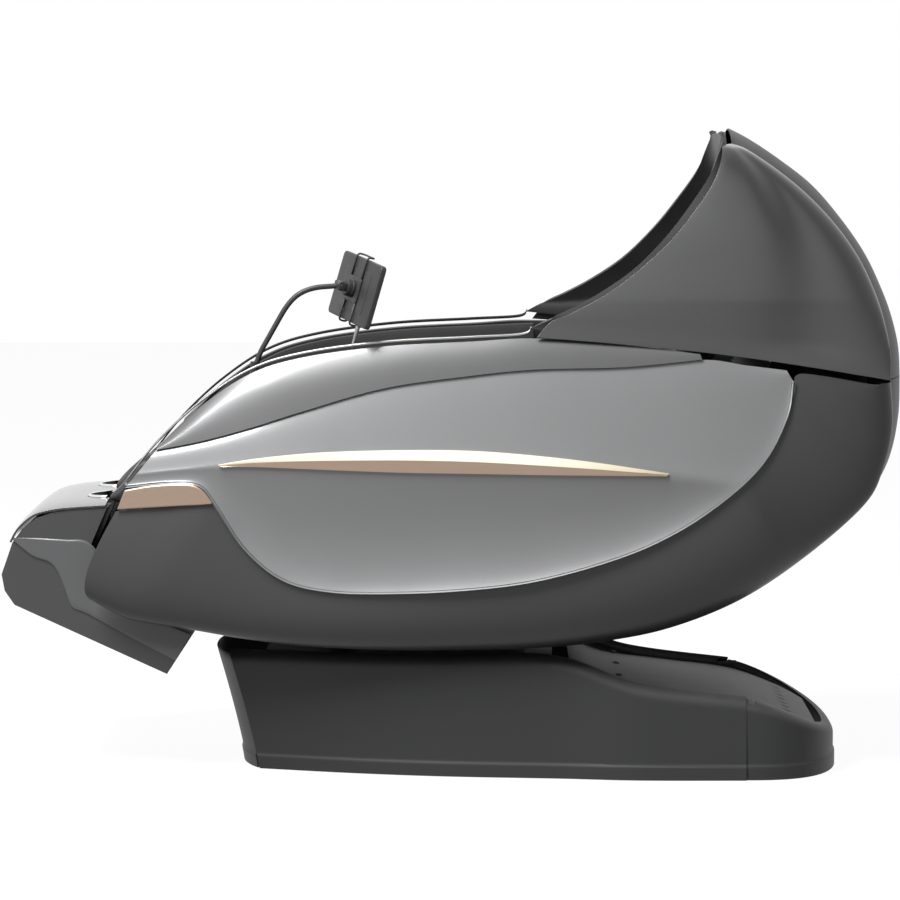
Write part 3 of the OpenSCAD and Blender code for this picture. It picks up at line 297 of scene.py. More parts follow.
# The lower shell's colour goes darker where it turns away from the eye: painted shade.
shell_dark = finish_of("shell_dark", (0.040, 0.0405, 0.0415), (0.046, 0.0465, 0.0475), 0.42,
                       coat=0.15, coat_rough=0.2, bump=0.06, bump_height=0.0004,
                       specular=0.35, turned_away_shade=(0.008, 0.008, 0.009), turn_from=0.0,
                       turn_to=0.25)
base_plastic = finish_of("base_plastic", (0.026, 0.0265, 0.027), (0.033, 0.0335, 0.034), 0.55,
                         group=grain, drift_out="Speckle", bump=0.18, bump_height=0.0002,
                         values=[("Scale", 1100)], specular=0.3)
fine_plastic = finish_of("fine_plastic", (0.016, 0.016, 0.017), (0.024, 0.024, 0.025), 0.45,
                         group=grain, drift_out="Speckle", bump=0.12, bump_height=0.00015,
                         values=[("Scale", 1700)], specular=0.35)
piano_black = finish_of("piano_black", (0.005, 0.005, 0.006), (0.009, 0.009, 0.010), 0.16,
                        rough_drift=0.05, coat=0.5, coat_rough=0.03, bump=0.03,
                        bump_height=0.0004)
satin_black = finish_of("satin_black", (0.008, 0.008, 0.009), (0.012, 0.012, 0.013), 0.42,
                        bump=0.05, bump_height=0.0004, specular=0.12, dusty=0.02)
copper_metal = finish_of("copper_metal", (0.30, 0.222, 0.172), (0.37, 0.28, 0.22), 0.38,
                         metallic=1.0, group=brush, drift_out="Streak", bump=0.08,
                         bump_height=0.0001)
# Silver for the outward side of the edging tube: a painted highlight.
painted_highlight_silver = finish_of("painted_highlight_silver", (0.24, 0.24, 0.235), (0.30, 0.30, 0.295), 0.32,
                         metallic=0.9, bump=0.05)
black_leather = finish_of("black_leather", (0.010, 0.010, 0.011), (0.018, 0.0175, 0.0175), 0.50,
                          group=hide, drift_out="Tone", bump=0.35, bump_height=0.0004,
                          dusty=0.03, sheen=0.03, specular=0.35)
frame_steel = finish_of("frame_steel", (0.10, 0.105, 0.11), (0.14, 0.145, 0.15), 0.45,
                        metallic=0.4, coat=0.3, coat_rough=0.3, bump=0.15,
                        bump_height=0.0003, values=[("Scale", 260)])
bare_steel = finish_of("bare_steel", (0.55, 0.56, 0.57), (0.68, 0.69, 0.70), 0.25,
                       metallic=1.0, group=brush, drift_out="Streak", bump=0.08,
                       bump_height=0.0001)
chrome_ring = finish_of("chrome_ring", (0.80, 0.81, 0.82), (0.86, 0.87, 0.88), 0.08,
                        rough_drift=0.03, metallic=1.0, bump=0.02)
soft_rubber = finish_of("soft_rubber", (0.020, 0.020, 0.021), (0.034, 0.034, 0.035), 0.75,
                        group=grain, drift_out="Speckle", bump=0.25, bump_height=0.0003,
                        values=[("Scale", 700)], dusty=0.12)
gray_plastic = finish_of("gray_plastic", (0.20, 0.20, 0.21), (0.25, 0.25, 0.26), 0.5,
                         group=grain, drift_out="Speckle", bump=0.15, bump_height=0.0002,
                         values=[("Scale", 1200)])
screen_glass = finish_of("screen_glass", (0.004, 0.004, 0.005), (0.008, 0.008, 0.010), 0.06,
                         rough_drift=0.03, coat=1.0, coat_rough=0.01, bump=0.01)
floor_paper = finish_of("floor_paper", (0.13, 0.13, 0.13), (0.15, 0.15, 0.15), 0.9,
                        dusty=0.0, bump=0.03, bump_height=0.0005, specular=0.0)
print("finishes:", len(bpy.data.materials))

# %% Floor: pale to the camera and to mirrors, with the chair's own shadow on it
FLOOR_GLOW = 0.95
floor_tree = floor_paper.node_tree
floor_pale = node(floor_tree, "ShaderNodeMath", [(0, seen_or_mirrored(floor_tree))],
                  operation="MULTIPLY")
floor_pale.inputs[1].default_value = FLOOR_GLOW
floor_shader = floor_tree.nodes["Principled BSDF"]
floor_shader.inputs["Emission Color"].default_value = (1, 1, 1, 1)
floor_tree.links.new(floor_pale.outputs[0], floor_shader.inputs["Emission Strength"])
ground = bmesh.new()
bmesh.ops.create_grid(ground, x_segments=4, y_segments=4, size=14)
floor_mesh = bpy.data.meshes.new("floor")
ground.to_mesh(floor_mesh)
floor = bpy.data.objects.new("floor", floor_mesh)
bpy.context.scene.collection.objects.link(floor)
floor.data.materials.append(floor_paper)

# %% [markdown]
# ## The outlines of the capsule
# The big skins are lofts: each lies between two curves drawn in the side view.
# The same few points drive the CAD source, so skins and collision solids share
# their side view. Above the ridge the skins are up to 13 mm narrower on each side.
# A smooth curve through the points (Catmull-Rom) is enough, and a grid that
# bmesh lays out flat is then moved onto the surface, point by point.


# %% Curves through a few points, in millimetres
def mix(a, b, t):
    return a + (b - a) * t


def along(points, share):
    spans = len(points) - 1
    k = min(int(share * spans), spans - 1)
    t = share * spans - k
    a, b, c, d = (points[max(0, min(spans, i))] for i in (k - 1, k, k + 1, k + 2))
    return Vector(tuple(0.5 * (2 * b[i] + (c[i] - a[i]) * t
                               + (2 * a[i] - 5 * b[i] + 4 * c[i] - d[i]) * t * t
                               + (3 * b[i] - a[i] - 3 * c[i] + d[i]) * t ** 3)
                        for i in range(len(a))))


def shifted(points, dy, dz):
    return [(p[0] + dy, p[1] + dz) for p in points]


# %% Side-view outlines: (y, z) from the foot end to the back
panel_gap, panel_wall, seam_flare = 0.8, 4.0, 10.0
top_edge = [(-562, 640), (-482, 714), (-390, 774), (-290, 805), (-139, 826), (20, 835),
            (145, 841), (310, 829), (452, 811)]
crease = [(-566, 632), (-482, 649), (-390, 674), (-290, 706), (-139, 749), (20, 772),
          (145, 784), (310, 788), (456, 801)]
panel_top = shifted(crease, 0, -panel_gap) + [(540, 789), (616, 779)]
seam = [(-456, 532), (-401, 447), (-330, 388), (-240, 366), (-120, 364), (10, 371),
        (130, 386), (250, 416), (360, 456), (465, 516), (566, 602), (616, 690), (629, 757)]
panel_low = [(-624, 561), (-542, 570), (-486, 566)] + seam
shell_top = ([(-643, 516), (-540, 523)] + shifted(seam, 0.6 * panel_gap, -0.8 * panel_gap)
             + [(655, 772), (786, 749)])
rear_edge = [(768, 522), (804, 590), (822, 670), (819, 753)]
shell_low = [(-690, 345), (-645, 318), (-600, 303), (-496, 286), (-390, 268), (-270, 255),
             (-130, 249), (10, 249), (140, 252), (270, 264), (400, 290), (535, 344),
             (660, 427)] + rear_edge
band_edge = [(817, 757), (818, 810), (806, 870), (788, 925), (757, 990), (713, 1052),
             (658, 1110), (603, 1155), (548, 1192), (519, 1203)]
band_ridge = [(855, 757), (851, 812), (838, 868), (818, 922), (786, 989), (740, 1056),
              (684, 1121), (622, 1170), (562, 1210), (522, 1231)]
rim = [(146, 843), (172, 872), (210, 888), (273, 922), (331, 963), (395, 1021),
       (440, 1075), (477, 1129), (494, 1172), (499, 1200)]
lip = [(134, 858), (158, 872), (206, 892), (268, 925), (330, 968), (392, 1030),
       (436, 1086), (472, 1140), (489, 1186), (499, 1216)]
lining_back = [(700, 800), (714, 850), (713, 900), (700, 950), (675, 1000), (640, 1048),
               (596, 1086), (552, 1118), (516, 1152), (499, 1220)]
cover_edge = [(818, 756.4)] + rear_edge[2::-1]
cover_ridge = [(855, 756.4), (852, 680), (834, 596), (790, 510)]


# %% Half width of the capsule at a point of the side view
def ridge_z(y):
    return 618 - 0.000125 * (y + 100) ** 2


def ridge_w(y):
    if y < 60:
        return 394 - 54 * ((60 - y) / 710) ** 2.2
    return 394 - 100 * ((y - 60) / 790) ** 2.2


def side_w(p):
    up = (p[1] - ridge_z(p[0])) / 200
    return ridge_w(p[0]) - (42 * up ** 0.85 if up > 0 else 22 * (-up) ** 1.6)


def on_side(p, out):
    return Vector((side_w(p) + out, p[0], p[1]))


# %% Rise of a number from 0 to 1 between two limits, without corners
def ease(low, high, value):
    t = max(0.0, min(1.0, (value - low) / (high - low)))
    return t * t * (3 - 2 * t)


# %% [markdown]
# ## From grid to skin
# `skin` makes a flat grid with bmesh, moves every vertex onto a surface and
# hands the thickness to a Solidify modifier. A small Bevel rounds the rims, as
# moulded edges are, and Weighted Normal keeps the large faces calm. A skin on
# the other side of the chair is a mirrored copy whose faces are turned back.


# %% Skins over a surface
def rows(count, *extra):
    return sorted(set([i / count for i in range(count + 1)] + list(extra)))


def wrap_up(name, work, finish, body, replaced=(), smooth=True):
    mesh = bpy.data.meshes.new(name)
    for face in work.faces:
        face.smooth = smooth
    work.to_mesh(mesh)
    work.free()
    piece = bpy.data.objects.new(name, mesh)
    bpy.context.scene.collection.objects.link(piece)
    piece.data.materials.append(finish)
    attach(piece, body)
    if replaced:
        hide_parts(*replaced)
    return piece


def rounded(piece, width, segments=2, angle=40):
    bevel = piece.modifiers.new("rims", "BEVEL")
    bevel.width, bevel.segments, bevel.limit_method = width, segments, "ANGLE"
    bevel.angle_limit = math.radians(angle)
    calm = piece.modifiers.new("normals", "WEIGHTED_NORMAL")
    calm.keep_sharp = False
    return piece


def grid_on(surface, across, down):
    work = bmesh.new()
    bmesh.ops.create_grid(work, x_segments=len(across) - 1, y_segments=len(down) - 1,
                          size=0.5)
    for v in work.verts:
        i = round((v.co.x + 0.5) * (len(across) - 1))
        j = round((v.co.y + 0.5) * (len(down) - 1))
        v.co = Vector(surface(across[i], down[j])) * MM
    return work


def closed(part, near=0.00002):
    """Merge the seam of a rolled-up grid and cap its open ends."""
    bmesh.ops.remove_doubles(part, verts=part.verts, dist=near)
    bmesh.ops.holes_fill(part, edges=[e for e in part.edges if e.is_boundary])
    bmesh.ops.recalc_face_normals(part, faces=part.faces)
    return part


def add_to(work, part):
    carrier = bpy.data.meshes.new("carrier")
    part.to_mesh(carrier)
    part.free()
    work.from_mesh(carrier)
    bpy.data.meshes.remove(carrier)


def face_out(work, centre, inward=False):
    work.normal_update()
    towards = sum((f.normal.dot(f.calc_center_median() - centre) * f.calc_area()
                   for f in work.faces))
    if (towards < 0) != inward:
        bmesh.ops.reverse_faces(work, faces=work.faces)


def skin(name, surface, across, down, finish, body, slot_name, wall=panel_wall,
         replaced=None, centre=(0, 0.05, 0.65), inward=False, bevel=0.0009, merge=False):
    work = grid_on(surface, across, down)
    if merge:
        bmesh.ops.remove_doubles(work, verts=work.verts, dist=0.00005)
    face_out(work, Vector(centre), inward)
    piece = wrap_up(name, work, finish, body, replaced or (name,))
    wall_step = piece.modifiers.new("wall", "SOLIDIFY")
    wall_step.thickness, wall_step.offset = wall * MM, -1
    wall_step.use_even_offset = True
    rounded(piece, bevel)
    return piece


def skin_pair(name, surface, across, down, finish, body, slot_name, centre=(0.1, 0.05, 0.65),
              **more):
    pieces = [skin(name + "_left", surface, across, down, finish, body, slot_name,
                   centre=centre, **more)]
    opposite = (-centre[0], centre[1], centre[2])

    def other(u, v):
        p = surface(u, v)
        return (-p[0], p[1], p[2])
    pieces.append(skin(name + "_right", other, across, down, finish, body, slot_name,
                       centre=opposite, **more))
    return pieces


# %% [markdown]
# ## Side panels
# The large gray panels are lacquered ABS with fine metal flake. Their lower
# edge flares out into a bright lip before it turns in at the seam, and a low
# ridge runs along the middle. The last rows crowd at the edge, because that is
# where the light line forms.


# %% Side panels
def scoop(p, w):
    # the face falls straight in below the ridge and comes back out at the seam
    down = max(0, (ridge_z(p[0]) - p[1]) / 200)
    return -max(0, 56 * down - 22 * down ** 1.6) * (1 - w ** 6)


def panel_out(w, turn, y):
    middle = math.exp(-((y - 100) / 240) ** 2)
    flare = 4 * w ** 10 + (seam_flare - 1) * middle * w ** 5 - 5 * (1 - w) ** 8
    return flare - (seam_flare + panel_wall) * turn


def panel_surface(u, v):
    w = 1 - (1 - min(1, v / 0.94)) ** 1.8
    turn = max(0, (v - 0.94) / 0.06)
    p = mix(along(panel_top, u), along(panel_low, u), w)
    return on_side(p, panel_out(w, turn, p[0]) + scoop(p, w))


panel_rows = rows(36, 0.93, 0.938, 0.9425, 0.947, 0.955)
skin_pair("side_panel", panel_surface, rows(150), panel_rows, panel_gray, "capsule",
          "shell_gray")
print("panel width at the ridge:", round(2 * side_w((60, 614)), 1), "mm")


# %% Shoulder panels: the darker band above the crease, rolled in at the top
def shoulder_surface(u, v):
    roll = 14 * (1 - v) ** 3 * (1 - u ** 4)
    return on_side(mix(along(top_edge, u), along(crease, u), v), -roll)


skin_pair("shoulder_panel", shoulder_surface, rows(110), rows(16), shoulder_gray, "capsule",
          "shell_gray")


# %% Lower shell: rounds under from the seam to the belly
def seam_out(share):
    step = along(panel_low, min(share + 0.01, 1)) - along(panel_low, max(share - 0.01, 0))
    step.normalize()
    return Vector((step.y, -step.x))


shell_line = [along(panel_low, (i + 2) / 30) + panel_gap * seam_out((i + 2) / 30)
              if 3 < i < 29 else along(shell_top, i / 32) for i in range(33)]


def lower_surface(u, v):
    a, b = along(shell_line, u), along(shell_low, u)
    bulge = 24 * math.sin(math.pi * v) * (1 - u) ** 8
    p = mix(a, b, math.sin(math.pi / 2 * v)) - Vector((bulge, 0))
    wide = side_w(a) - 3 * (1 - u ** 12)
    return Vector((mix(mix(300, 226, u ** 3), wide, math.cos(math.pi / 2 * v)), p[0], p[1]))


skin_pair("lower_shell", lower_surface, rows(128), rows(30), shell_dark, "capsule",
          "shell_dark")

# %% [markdown]
# ## Hood
# The hood is a shell of two gray cheeks and a black spine, lined with dark
# leather. The cheeks start flush with the side panels and round over to the
# spine, with a soft valley down the middle; the lip of the lining stands proud
# of their front rim as a soft roll. The same leather covers the boards between
# the arm pads and the shoulders.


# %% Hood surfaces
def rim_w(u):
    return 190 + 162 * max(0, math.cos(math.pi / 2 * u)) ** 0.7


def band_w(u):
    return mix(150, 225, math.cos(math.pi / 2 * u))


def hood_surface(u, v):
    k = v ** 1.5
    p = mix(along(band_edge, u), along(rim, u), k)
    p = p + Vector((0, 11 * math.sin(math.pi * k) * (1 - u) ** 6))
    arc = mix(band_w(u), rim_w(u), math.sqrt(max(0, 1 - (1 - k) ** 2)))
    wide = band_w(u) if v == 0 else mix(side_w(p), arc, min(1, u / 0.3))
    valley = 13 * math.exp(-((k - 0.24) / 0.13) ** 2) * ease(0, 0.12, u) * ease(0, 0.3, 1 - u)
    return Vector((wide + panel_gap / 2 - valley, p[0], p[1]))


skin_pair("hood_side", hood_surface, rows(64), rows(48), hood_gray, "capsule", "shell_gray",
          centre=(0.0, 0.45, 0.95))


def spine_surface(u, v):
    t = 2 * v - 1
    p = mix(along(band_ridge, u), along(band_edge, u), abs(t) ** 2.2)
    return Vector((t * (band_w(u) - panel_gap / 2), p[0], p[1]))


skin("hood_spine", spine_surface, rows(72), rows(40), satin_black, "capsule", "gloss_black",
     centre=(0, 0.4, 0.9))


def cover_surface(u, v):
    t = 1 - 2 * v
    p = mix(along(cover_ridge, u), along(cover_edge, u), abs(t) ** 2.2)
    return Vector((t * 225.4, p[0], p[1]))


skin("back_cover", cover_surface, rows(32), rows(40), satin_black, "capsule", "gloss_black",
     centre=(0, 0.4, 0.7))


# %% Hood lining: the visible face looks inwards, so its wall grows outwards
def lining_surface(u, v):
    a = math.pi * v
    c = math.cos(a)
    s = max(0.0, math.sin(a))
    w = rim_w(u) - panel_wall - 5 - 9 - 16 * u - 8 * u ** 4
    p = mix(along(lip, u), along(lining_back, u), s ** 0.67)
    room = side_w(p) - panel_wall - 9 - 3 + 300 * u * u
    return Vector((math.copysign(min(w * abs(c) ** 0.67, room), c), p[0], p[1]))


skin("hood_lining", lining_surface, rows(48),
     sorted(set(rows(60, 0.004, 0.009, 0.991, 0.996))), black_leather, "capsule",
     "upholstery", wall=9, centre=(0, 0.42, 0.95), inward=True, bevel=0.002)

# %% Liners between the arm pads and the shoulder: padded leather boards
liner_top = shifted(top_edge[:7], 6, -5)
liner_low = [(-540, 545), (-455, 560), (-375, 575), (-290, 585), (-139, 590), (20, 595),
             (150, 610)]


def liner_surface(u, v):
    a = along(liner_top, u)
    p = mix(a, along(liner_low, u), v)
    wide = mix(side_w(a) - 22, 318, v ** 0.6)
    return Vector((wide, p[0], p[1]))


skin_pair("arm_liner", liner_surface, rows(80), rows(20), black_leather, "capsule",
          "upholstery", wall=5, centre=(0.6, -0.1, 0.6), bevel=0.002,
          replaced=["armrest_left"])

# %% [markdown]
# ## Light spear and metal trim
# A light guide lies along the ridge: a thin glowing blade above, and a copper
# blade below that catches its light. Both taper to points, so each is a strip
# between two curves that meet. The glow fades towards the points, because the
# real guide is lit from its middle.

# %% Spear outlines and finishes
spear_top = [(-448, 607), (-368, 620), (-257, 631), (-108, 636), (22, 635), (144, 626),
             (263, 612), (392, 592)]
spear_mid = [(-446, 605), (-368, 612), (-257, 616), (-108, 617.5), (22, 615), (144, 608.5),
             (263, 600), (390, 589.5)]
spear_low = [(-444, 603), (-368, 603), (-257, 599), (-108, 594), (22, 592), (144, 590),
             (263, 588.5), (388, 587)]
light_guide = bpy.data.materials.new("light_guide")
light_guide.use_nodes = True
guide_tree = light_guide.node_tree
guide_shader = guide_tree.nodes["Principled BSDF"]
guide_shader.inputs["Roughness"].default_value = 0.35
guide_shader.inputs["Base Color"].default_value = (0.16, 0.15, 0.12, 1)
guide_shader.inputs["Emission Strength"].default_value = 1.0
guide_place = node(guide_tree, "ShaderNodeTexCoord")
guide_split = node(guide_tree, "ShaderNodeSeparateXYZ", [(0, guide_place.outputs["Object"])])
guide_ramp = node(guide_tree, "ShaderNodeValToRGB")
guide_along = node(guide_tree, "ShaderNodeMapRange", [("Value", guide_split.outputs["Y"])])
guide_along.inputs["From Min"].default_value = -0.45
guide_along.inputs["From Max"].default_value = 0.395
guide_tree.links.new(guide_along.outputs[0], guide_ramp.inputs["Fac"])
guide_stops = guide_ramp.color_ramp
guide_stops.elements[0].color = (0.42, 0.34, 0.22, 1)
guide_stops.elements[1].color = (0.40, 0.33, 0.22, 1)
for stop, shade in ((0.10, (0.72, 0.64, 0.48, 1)), (0.34, (0.98, 0.94, 0.76, 1)),
                    (0.70, (0.96, 0.91, 0.73, 1)), (0.92, (0.62, 0.53, 0.38, 1))):
    guide_stops.elements.new(stop).color = shade
guide_tree.links.new(guide_ramp.outputs["Color"], guide_shader.inputs["Emission Color"])


# %% Blades of the spear
def strip_surface(high, low, lift, crown, share=0):
    def surface(u, v):
        p = mix(along(high, u), along(low, u), v)
        return on_side(p, lift + crown * math.sin(math.pi * v) + scoop(p, share))
    return surface


skin_pair("led_strip", strip_surface(spear_top, spear_mid, 3.4, 0.5), rows(120), rows(8),
          light_guide, "capsule", "light", wall=2.6, centre=(0, 0, 0.6), bevel=0.0004)
skin_pair("copper_spear", strip_surface(shifted(spear_mid, 0, -0.4), spear_low, 4.2, -0.8),
          rows(120), rows(8), copper_metal, "capsule", "copper_trim", wall=3.4,
          centre=(0, 0, 0.6), bevel=0.0005)

# %% Front trim band and the dark strip that edges the opening, silver on its outward side as a painted highlight
trim_top = [(-625, 557), (-578, 566), (-531, 570), (-500, 569), (-478, 559), (-460, 536)]
trim_low = [(-640, 520), (-598, 523), (-555, 526), (-512, 529), (-482, 531), (-462, 533)]
edge_line = ([(-620, 575)] + [(p[0] - 1, p[1] + 4.8) for p in top_edge[:6]]
             + [(118, 845.5), (136, 858)])
for side, sign in (("left", 1), ("right", -1)):
    band = grid_on(lambda u, v: (lambda p: (sign * p[0], p[1], p[2]))(
        strip_surface(trim_top, trim_low, 4.2, 1.2, 1)(u, v)), rows(60), rows(10))

    def strip_point(u, v):
        p = along(edge_line, u)
        turn = 2 * math.pi * v
        lean = Vector((3.2 * math.cos(turn), 3.0 * math.sin(turn)))
        return (sign * (side_w(p) - 12.5 + lean.x), p[0], p[1] + 3.4 + lean.y)
    tube = closed(grid_on(strip_point, rows(140), rows(12)))
    face_out(band, Vector((0, 0, 0.55)))
    bmesh.ops.solidify(band, geom=band.faces[:], thickness=3.6 * MM)
    bmesh.ops.recalc_face_normals(band, faces=band.faces)
    tube_faces = len(tube.faces)
    add_to(band, tube)
    trim = wrap_up("metal_trim_" + side, band, copper_metal, "capsule",
                   ["metal_trim_" + side])
    trim.data.materials.append(painted_highlight_silver)
    trim.data.materials.append(satin_black)
    # Tube faces that look out from the chair and not up get silver: a painted highlight on the
    # dark strip.
    for face in trim.data.polygons:
        on_tube = len(trim.data.polygons) - face.index <= tube_faces
        painted_highlight_side = face.normal.x * sign > 0.35 and face.normal.z < 0.75
        face.material_index = (1 if painted_highlight_side else 2) if on_tube else 0
print("trim bands made")

# %% [markdown]
# ## Foot unit
# The foot unit slides out of the leg rest. Its places are easiest to give in
# the leg's own frame: `s` runs down the leg and `n` stands out of it. The cap
# is a glossy shell whose edge follows the two foot wells, and a chrome crescent
# lines each well's mouth. A satin plate with an S-shaped edge covers each side.

# %% The leg's own frame
knee, leg_angle = (-450, 560), math.radians(24.6)
leg_half_w, well_x, well_r = 262, 112, 59


def in_leg(x, n, s):
    return Vector((x, knee[0] - s * math.sin(leg_angle) - n * math.cos(leg_angle),
                   knee[1] - s * math.cos(leg_angle) + n * math.sin(leg_angle)))


cap_line = [(186, 122), (235, 148), (272, 170), (303, 196), (320, 232), (323, 262)]


def well_edge(x):
    aside = abs(abs(x) - well_x)
    return max(186, 169 + math.sqrt(max(0, well_r ** 2 - aside ** 2)))


def cap_share(n):
    low, high = 0.0, 0.6
    for _ in range(18):
        middle = (low + high) / 2
        low, high = (middle, high) if along(cap_line, middle)[0] < n else (low, middle)
    return (low + high) / 2


# %% Glossy foot cap
def cap_surface(u, v):
    t = 2 * v - 1
    x = t * (leg_half_w + 3)
    start = cap_share(well_edge(x))
    p = along(cap_line, mix(start, 1, u))
    drop = 6 * abs(t) ** 4
    return in_leg(x, p[0] - 0.6 * drop, p[1] + 0.8 * drop)


cap_columns = sorted(set(round((x / (leg_half_w + 3) + 1) / 2, 5)
                         for x in [-265 + 530 * i / 70 for i in range(71)]
                         + [sign * (well_x + off) for sign in (-1, 1)
                            for off in (-57.5, -57, -56.5, -56, -55, -53, -50, 50, 53, 55, 56,
                                        56.5, 57, 57.5)]))
skin("foot_cap", cap_surface, rows(34), cap_columns, piano_black, "foot_unit", "gloss_black",
     wall=4, centre=(0, -0.55, 0.3), bevel=0.001)


# %% Chrome crescents
def crescent(side):
    def surface(u, v):
        turn = math.radians(mix(-66, 66, u))
        x = well_x * side + (well_r - 2.2) * math.sin(turn)
        n = 169 + (well_r - 2.2) * math.cos(turn)
        s = along(cap_line, cap_share(max(186, n)))[1]
        wide = 1.6 + 3.2 * math.sin(math.pi * u) ** 0.6
        round_about = 2 * math.pi * v
        pull = wide * 0.5 * math.cos(round_about)
        return in_leg(x - pull * math.sin(turn), n - pull * math.cos(turn) - 1.2,
                      s - 1.5 + 3.4 * math.sin(round_about))
    return surface


rings = bmesh.new()
for side in (-1, 1):
    add_to(rings, closed(grid_on(crescent(side), rows(48), rows(14))))
wrap_up("foot_rings", rings, chrome_ring, "foot_unit", ["foot_rings"])


# %% Side faces of the foot unit: a satin plate above an S-shaped step
step_line = [(-845, 454), (-809, 424), (-777, 412), (-761, 395), (-748, 365), (-733, 327),
             (-705, 314), (-620, 267), (-538, 223)]
plate_top = [(-843, 458), (-812, 458), (-785, 457), (-745, 455), (-705, 452), (-676, 420),
             (-640, 370), (-580, 310), (-508, 276)]


def plate_surface(u, v):
    p = mix(along(plate_top, u), along(step_line, u), v)
    rim_step = 1.6 * (1 - ease(0.0, 0.06, v)) + 1.2 * (1 - ease(0.0, 0.08, 1 - v))
    return Vector((leg_half_w + 3.4 - rim_step, p[0], p[1]))


skin_pair("foot_side", plate_surface, rows(60), rows(24, 0.01, 0.03, 0.05, 0.95, 0.97, 0.99),
          panel_dark, "foot_unit", "shell_gray", wall=3.6, centre=(0.1, -0.65, 0.35),
          replaced=["foot_shell"])

# %% [markdown]
# ## Moulded parts that keep their CAD shape
# Brackets, housings and tubes are already right in the frame. A copy whose
# doubled vertices are merged can take a Bevel modifier, which gives them the
# small radius that every moulded or cast edge has.


# %% Softened copies of CAD nodes
def softened(name, finish, body, width, segments=2, angle=35):
    work = bmesh.new()
    work.from_mesh(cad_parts[name].data)
    bmesh.ops.remove_doubles(work, verts=work.verts, dist=0.00003)
    bmesh.ops.dissolve_limit(work, angle_limit=math.radians(1), verts=work.verts,
                             edges=work.edges)
    piece = wrap_up(name + "_soft", work, finish, body, [name])
    return rounded(piece, width, segments, angle)


for name, finish, body, slot_name, width in (
        ("foot_shell", shell_dark, "foot_unit", "black_plastic", 0.004),
        ("calf_shell", fine_plastic, "leg_rest", "black_plastic", 0.003),
        ("power_inlet", fine_plastic, "base", "black_plastic", 0.0008),
        ("power_switch", soft_rubber, "power_switch", "black_plastic", 0.0008),
        ("control_box", gray_plastic, "base", "gray_plastic", 0.002),
        ("air_pump", gray_plastic, "capsule", "gray_plastic", 0.003),
        ("base_deck", base_plastic, "base", "base_gray", 0.001),
        ("arm_socket", fine_plastic, "capsule", "black_plastic", 0.001)):
    softened(name, finish, body, width)

# %% [markdown]
# ## Base
# The base covers are moulded in textured plastic. In plan they widen from the
# nose to the tail; in the side view their top steps down behind the chair. The
# skirt near the floor and the seam to the tail cap are shallow grooves. Ribs
# back the seams, and a raised deck with screws and vents closes the rear.

# %% Base covers
base_half_w, base_front_half_w, base_wall, foot_h = 306, 169, 4, 8
plan_line = [(-384, base_front_half_w), (-200, 225), (-24, 262), (191, 285),
             (343, base_half_w), (545, base_half_w)]
wall_top = [(-384, 206), (-200, 206), (-24, 207), (150, 208), (300, 158), (545, 132)]


def nose_y(z):
    return -60 * (z / 240) ** 1.2


def skirt(z):
    return 3.0 * (1 - ease(26, 32, z))


def base_side_surface(u, v):
    a, top = along(plan_line, u), along(wall_top, u)[1]
    w, c = min(1, v / 0.75), max(0, (v - 0.75) / 0.25)
    z = mix(foot_h - 6, top, w) + 26 * math.sin(math.pi / 2 * c)
    shift = nose_y(z) * (1 - u) ** 2
    x = a[1] + 12 * w * (1 - u) - 30 * (1 - math.cos(math.pi / 2 * c)) - 4 * w * u
    return Vector((x + skirt(z), a[0] + shift, z))


base_rows = rows(40, 0.06, 0.07, 0.08, 0.09, 0.10, 0.11, 0.12, 0.135, 0.15, 0.17)
skin_pair("base_side", base_side_surface, rows(96), base_rows, base_plastic, "base",
          "base_gray", wall=base_wall, centre=(0, 0.1, 0.1), bevel=0.0012)


def nose_surface(u, v):
    t, z = 1 - 2 * u, mix(foot_h - 6, 226, v)
    w = (base_front_half_w + 12 * min(1, v / 0.9) - base_wall - 0.7
         - 34 * (1 - math.sqrt(1 - (max(0, z - 206) / 26) ** 2)))
    return Vector((-t * w, -384 - panel_gap + nose_y(z) - 34 * (1 - abs(t) ** 2.6)
                   - skirt(z), z))


skin("base_nose", nose_surface, rows(48), rows(30, 0.08, 0.09, 0.10, 0.11), base_plastic,
     "base", "base_gray", wall=base_wall, centre=(0, 0, 0.1), bevel=0.0012)


def tail_surface(u, v):
    t = math.pi * u
    c, w, k = math.cos(t), min(1, v / 0.7), max(0, (v - 0.7) / 0.3)
    far = max(0, math.sin(t)) ** 0.75
    top = 132 - 72 * far ** 1.3
    z = mix(foot_h - 6, top, w) + 22 * math.sin(math.pi / 2 * k)
    r = 1 - 0.12 * (1 - math.cos(math.pi / 2 * k))
    return Vector((math.copysign((base_half_w - 4) * abs(c) ** 0.75 * r, c)
                   + math.copysign(skirt(z), c) * (1 - far),
                   545 + panel_gap + 184 * far * r + skirt(z) * far, z))


tail = skin("base_tail_cap", tail_surface, rows(72), rows(34, 0.14, 0.16, 0.18, 0.2, 0.22),
            base_plastic, "base", "base_gray", wall=base_wall, centre=(0, 0.5, 0.08),
            bevel=0.0012)

# %% Ribs behind the seam between the side covers and the tail cap
def rib_surface(u, v):
    p = base_side_surface(1, v)
    return Vector((p[0] - 6.4, mix(524, 562, u), min(p[2], 150)))


skin_pair("seam_rib", rib_surface, rows(3), base_rows, base_plastic, "base", "base_gray",
          wall=2.4, centre=(0, 0.5, 0.1), bevel=0.0004, replaced=["base_tail_cap"])

# %% Rear deck: a raised floor between the side covers, higher than the CAD deck
deck_line = [(214, 200), (236, 196), (300, 174), (420, 158), (545, 142), (637, 113),
             (686, 92)]
deck_half = [(214, 252), (236, 254), (300, 262), (420, 266), (545, 258), (637, 226), (686, 176)]


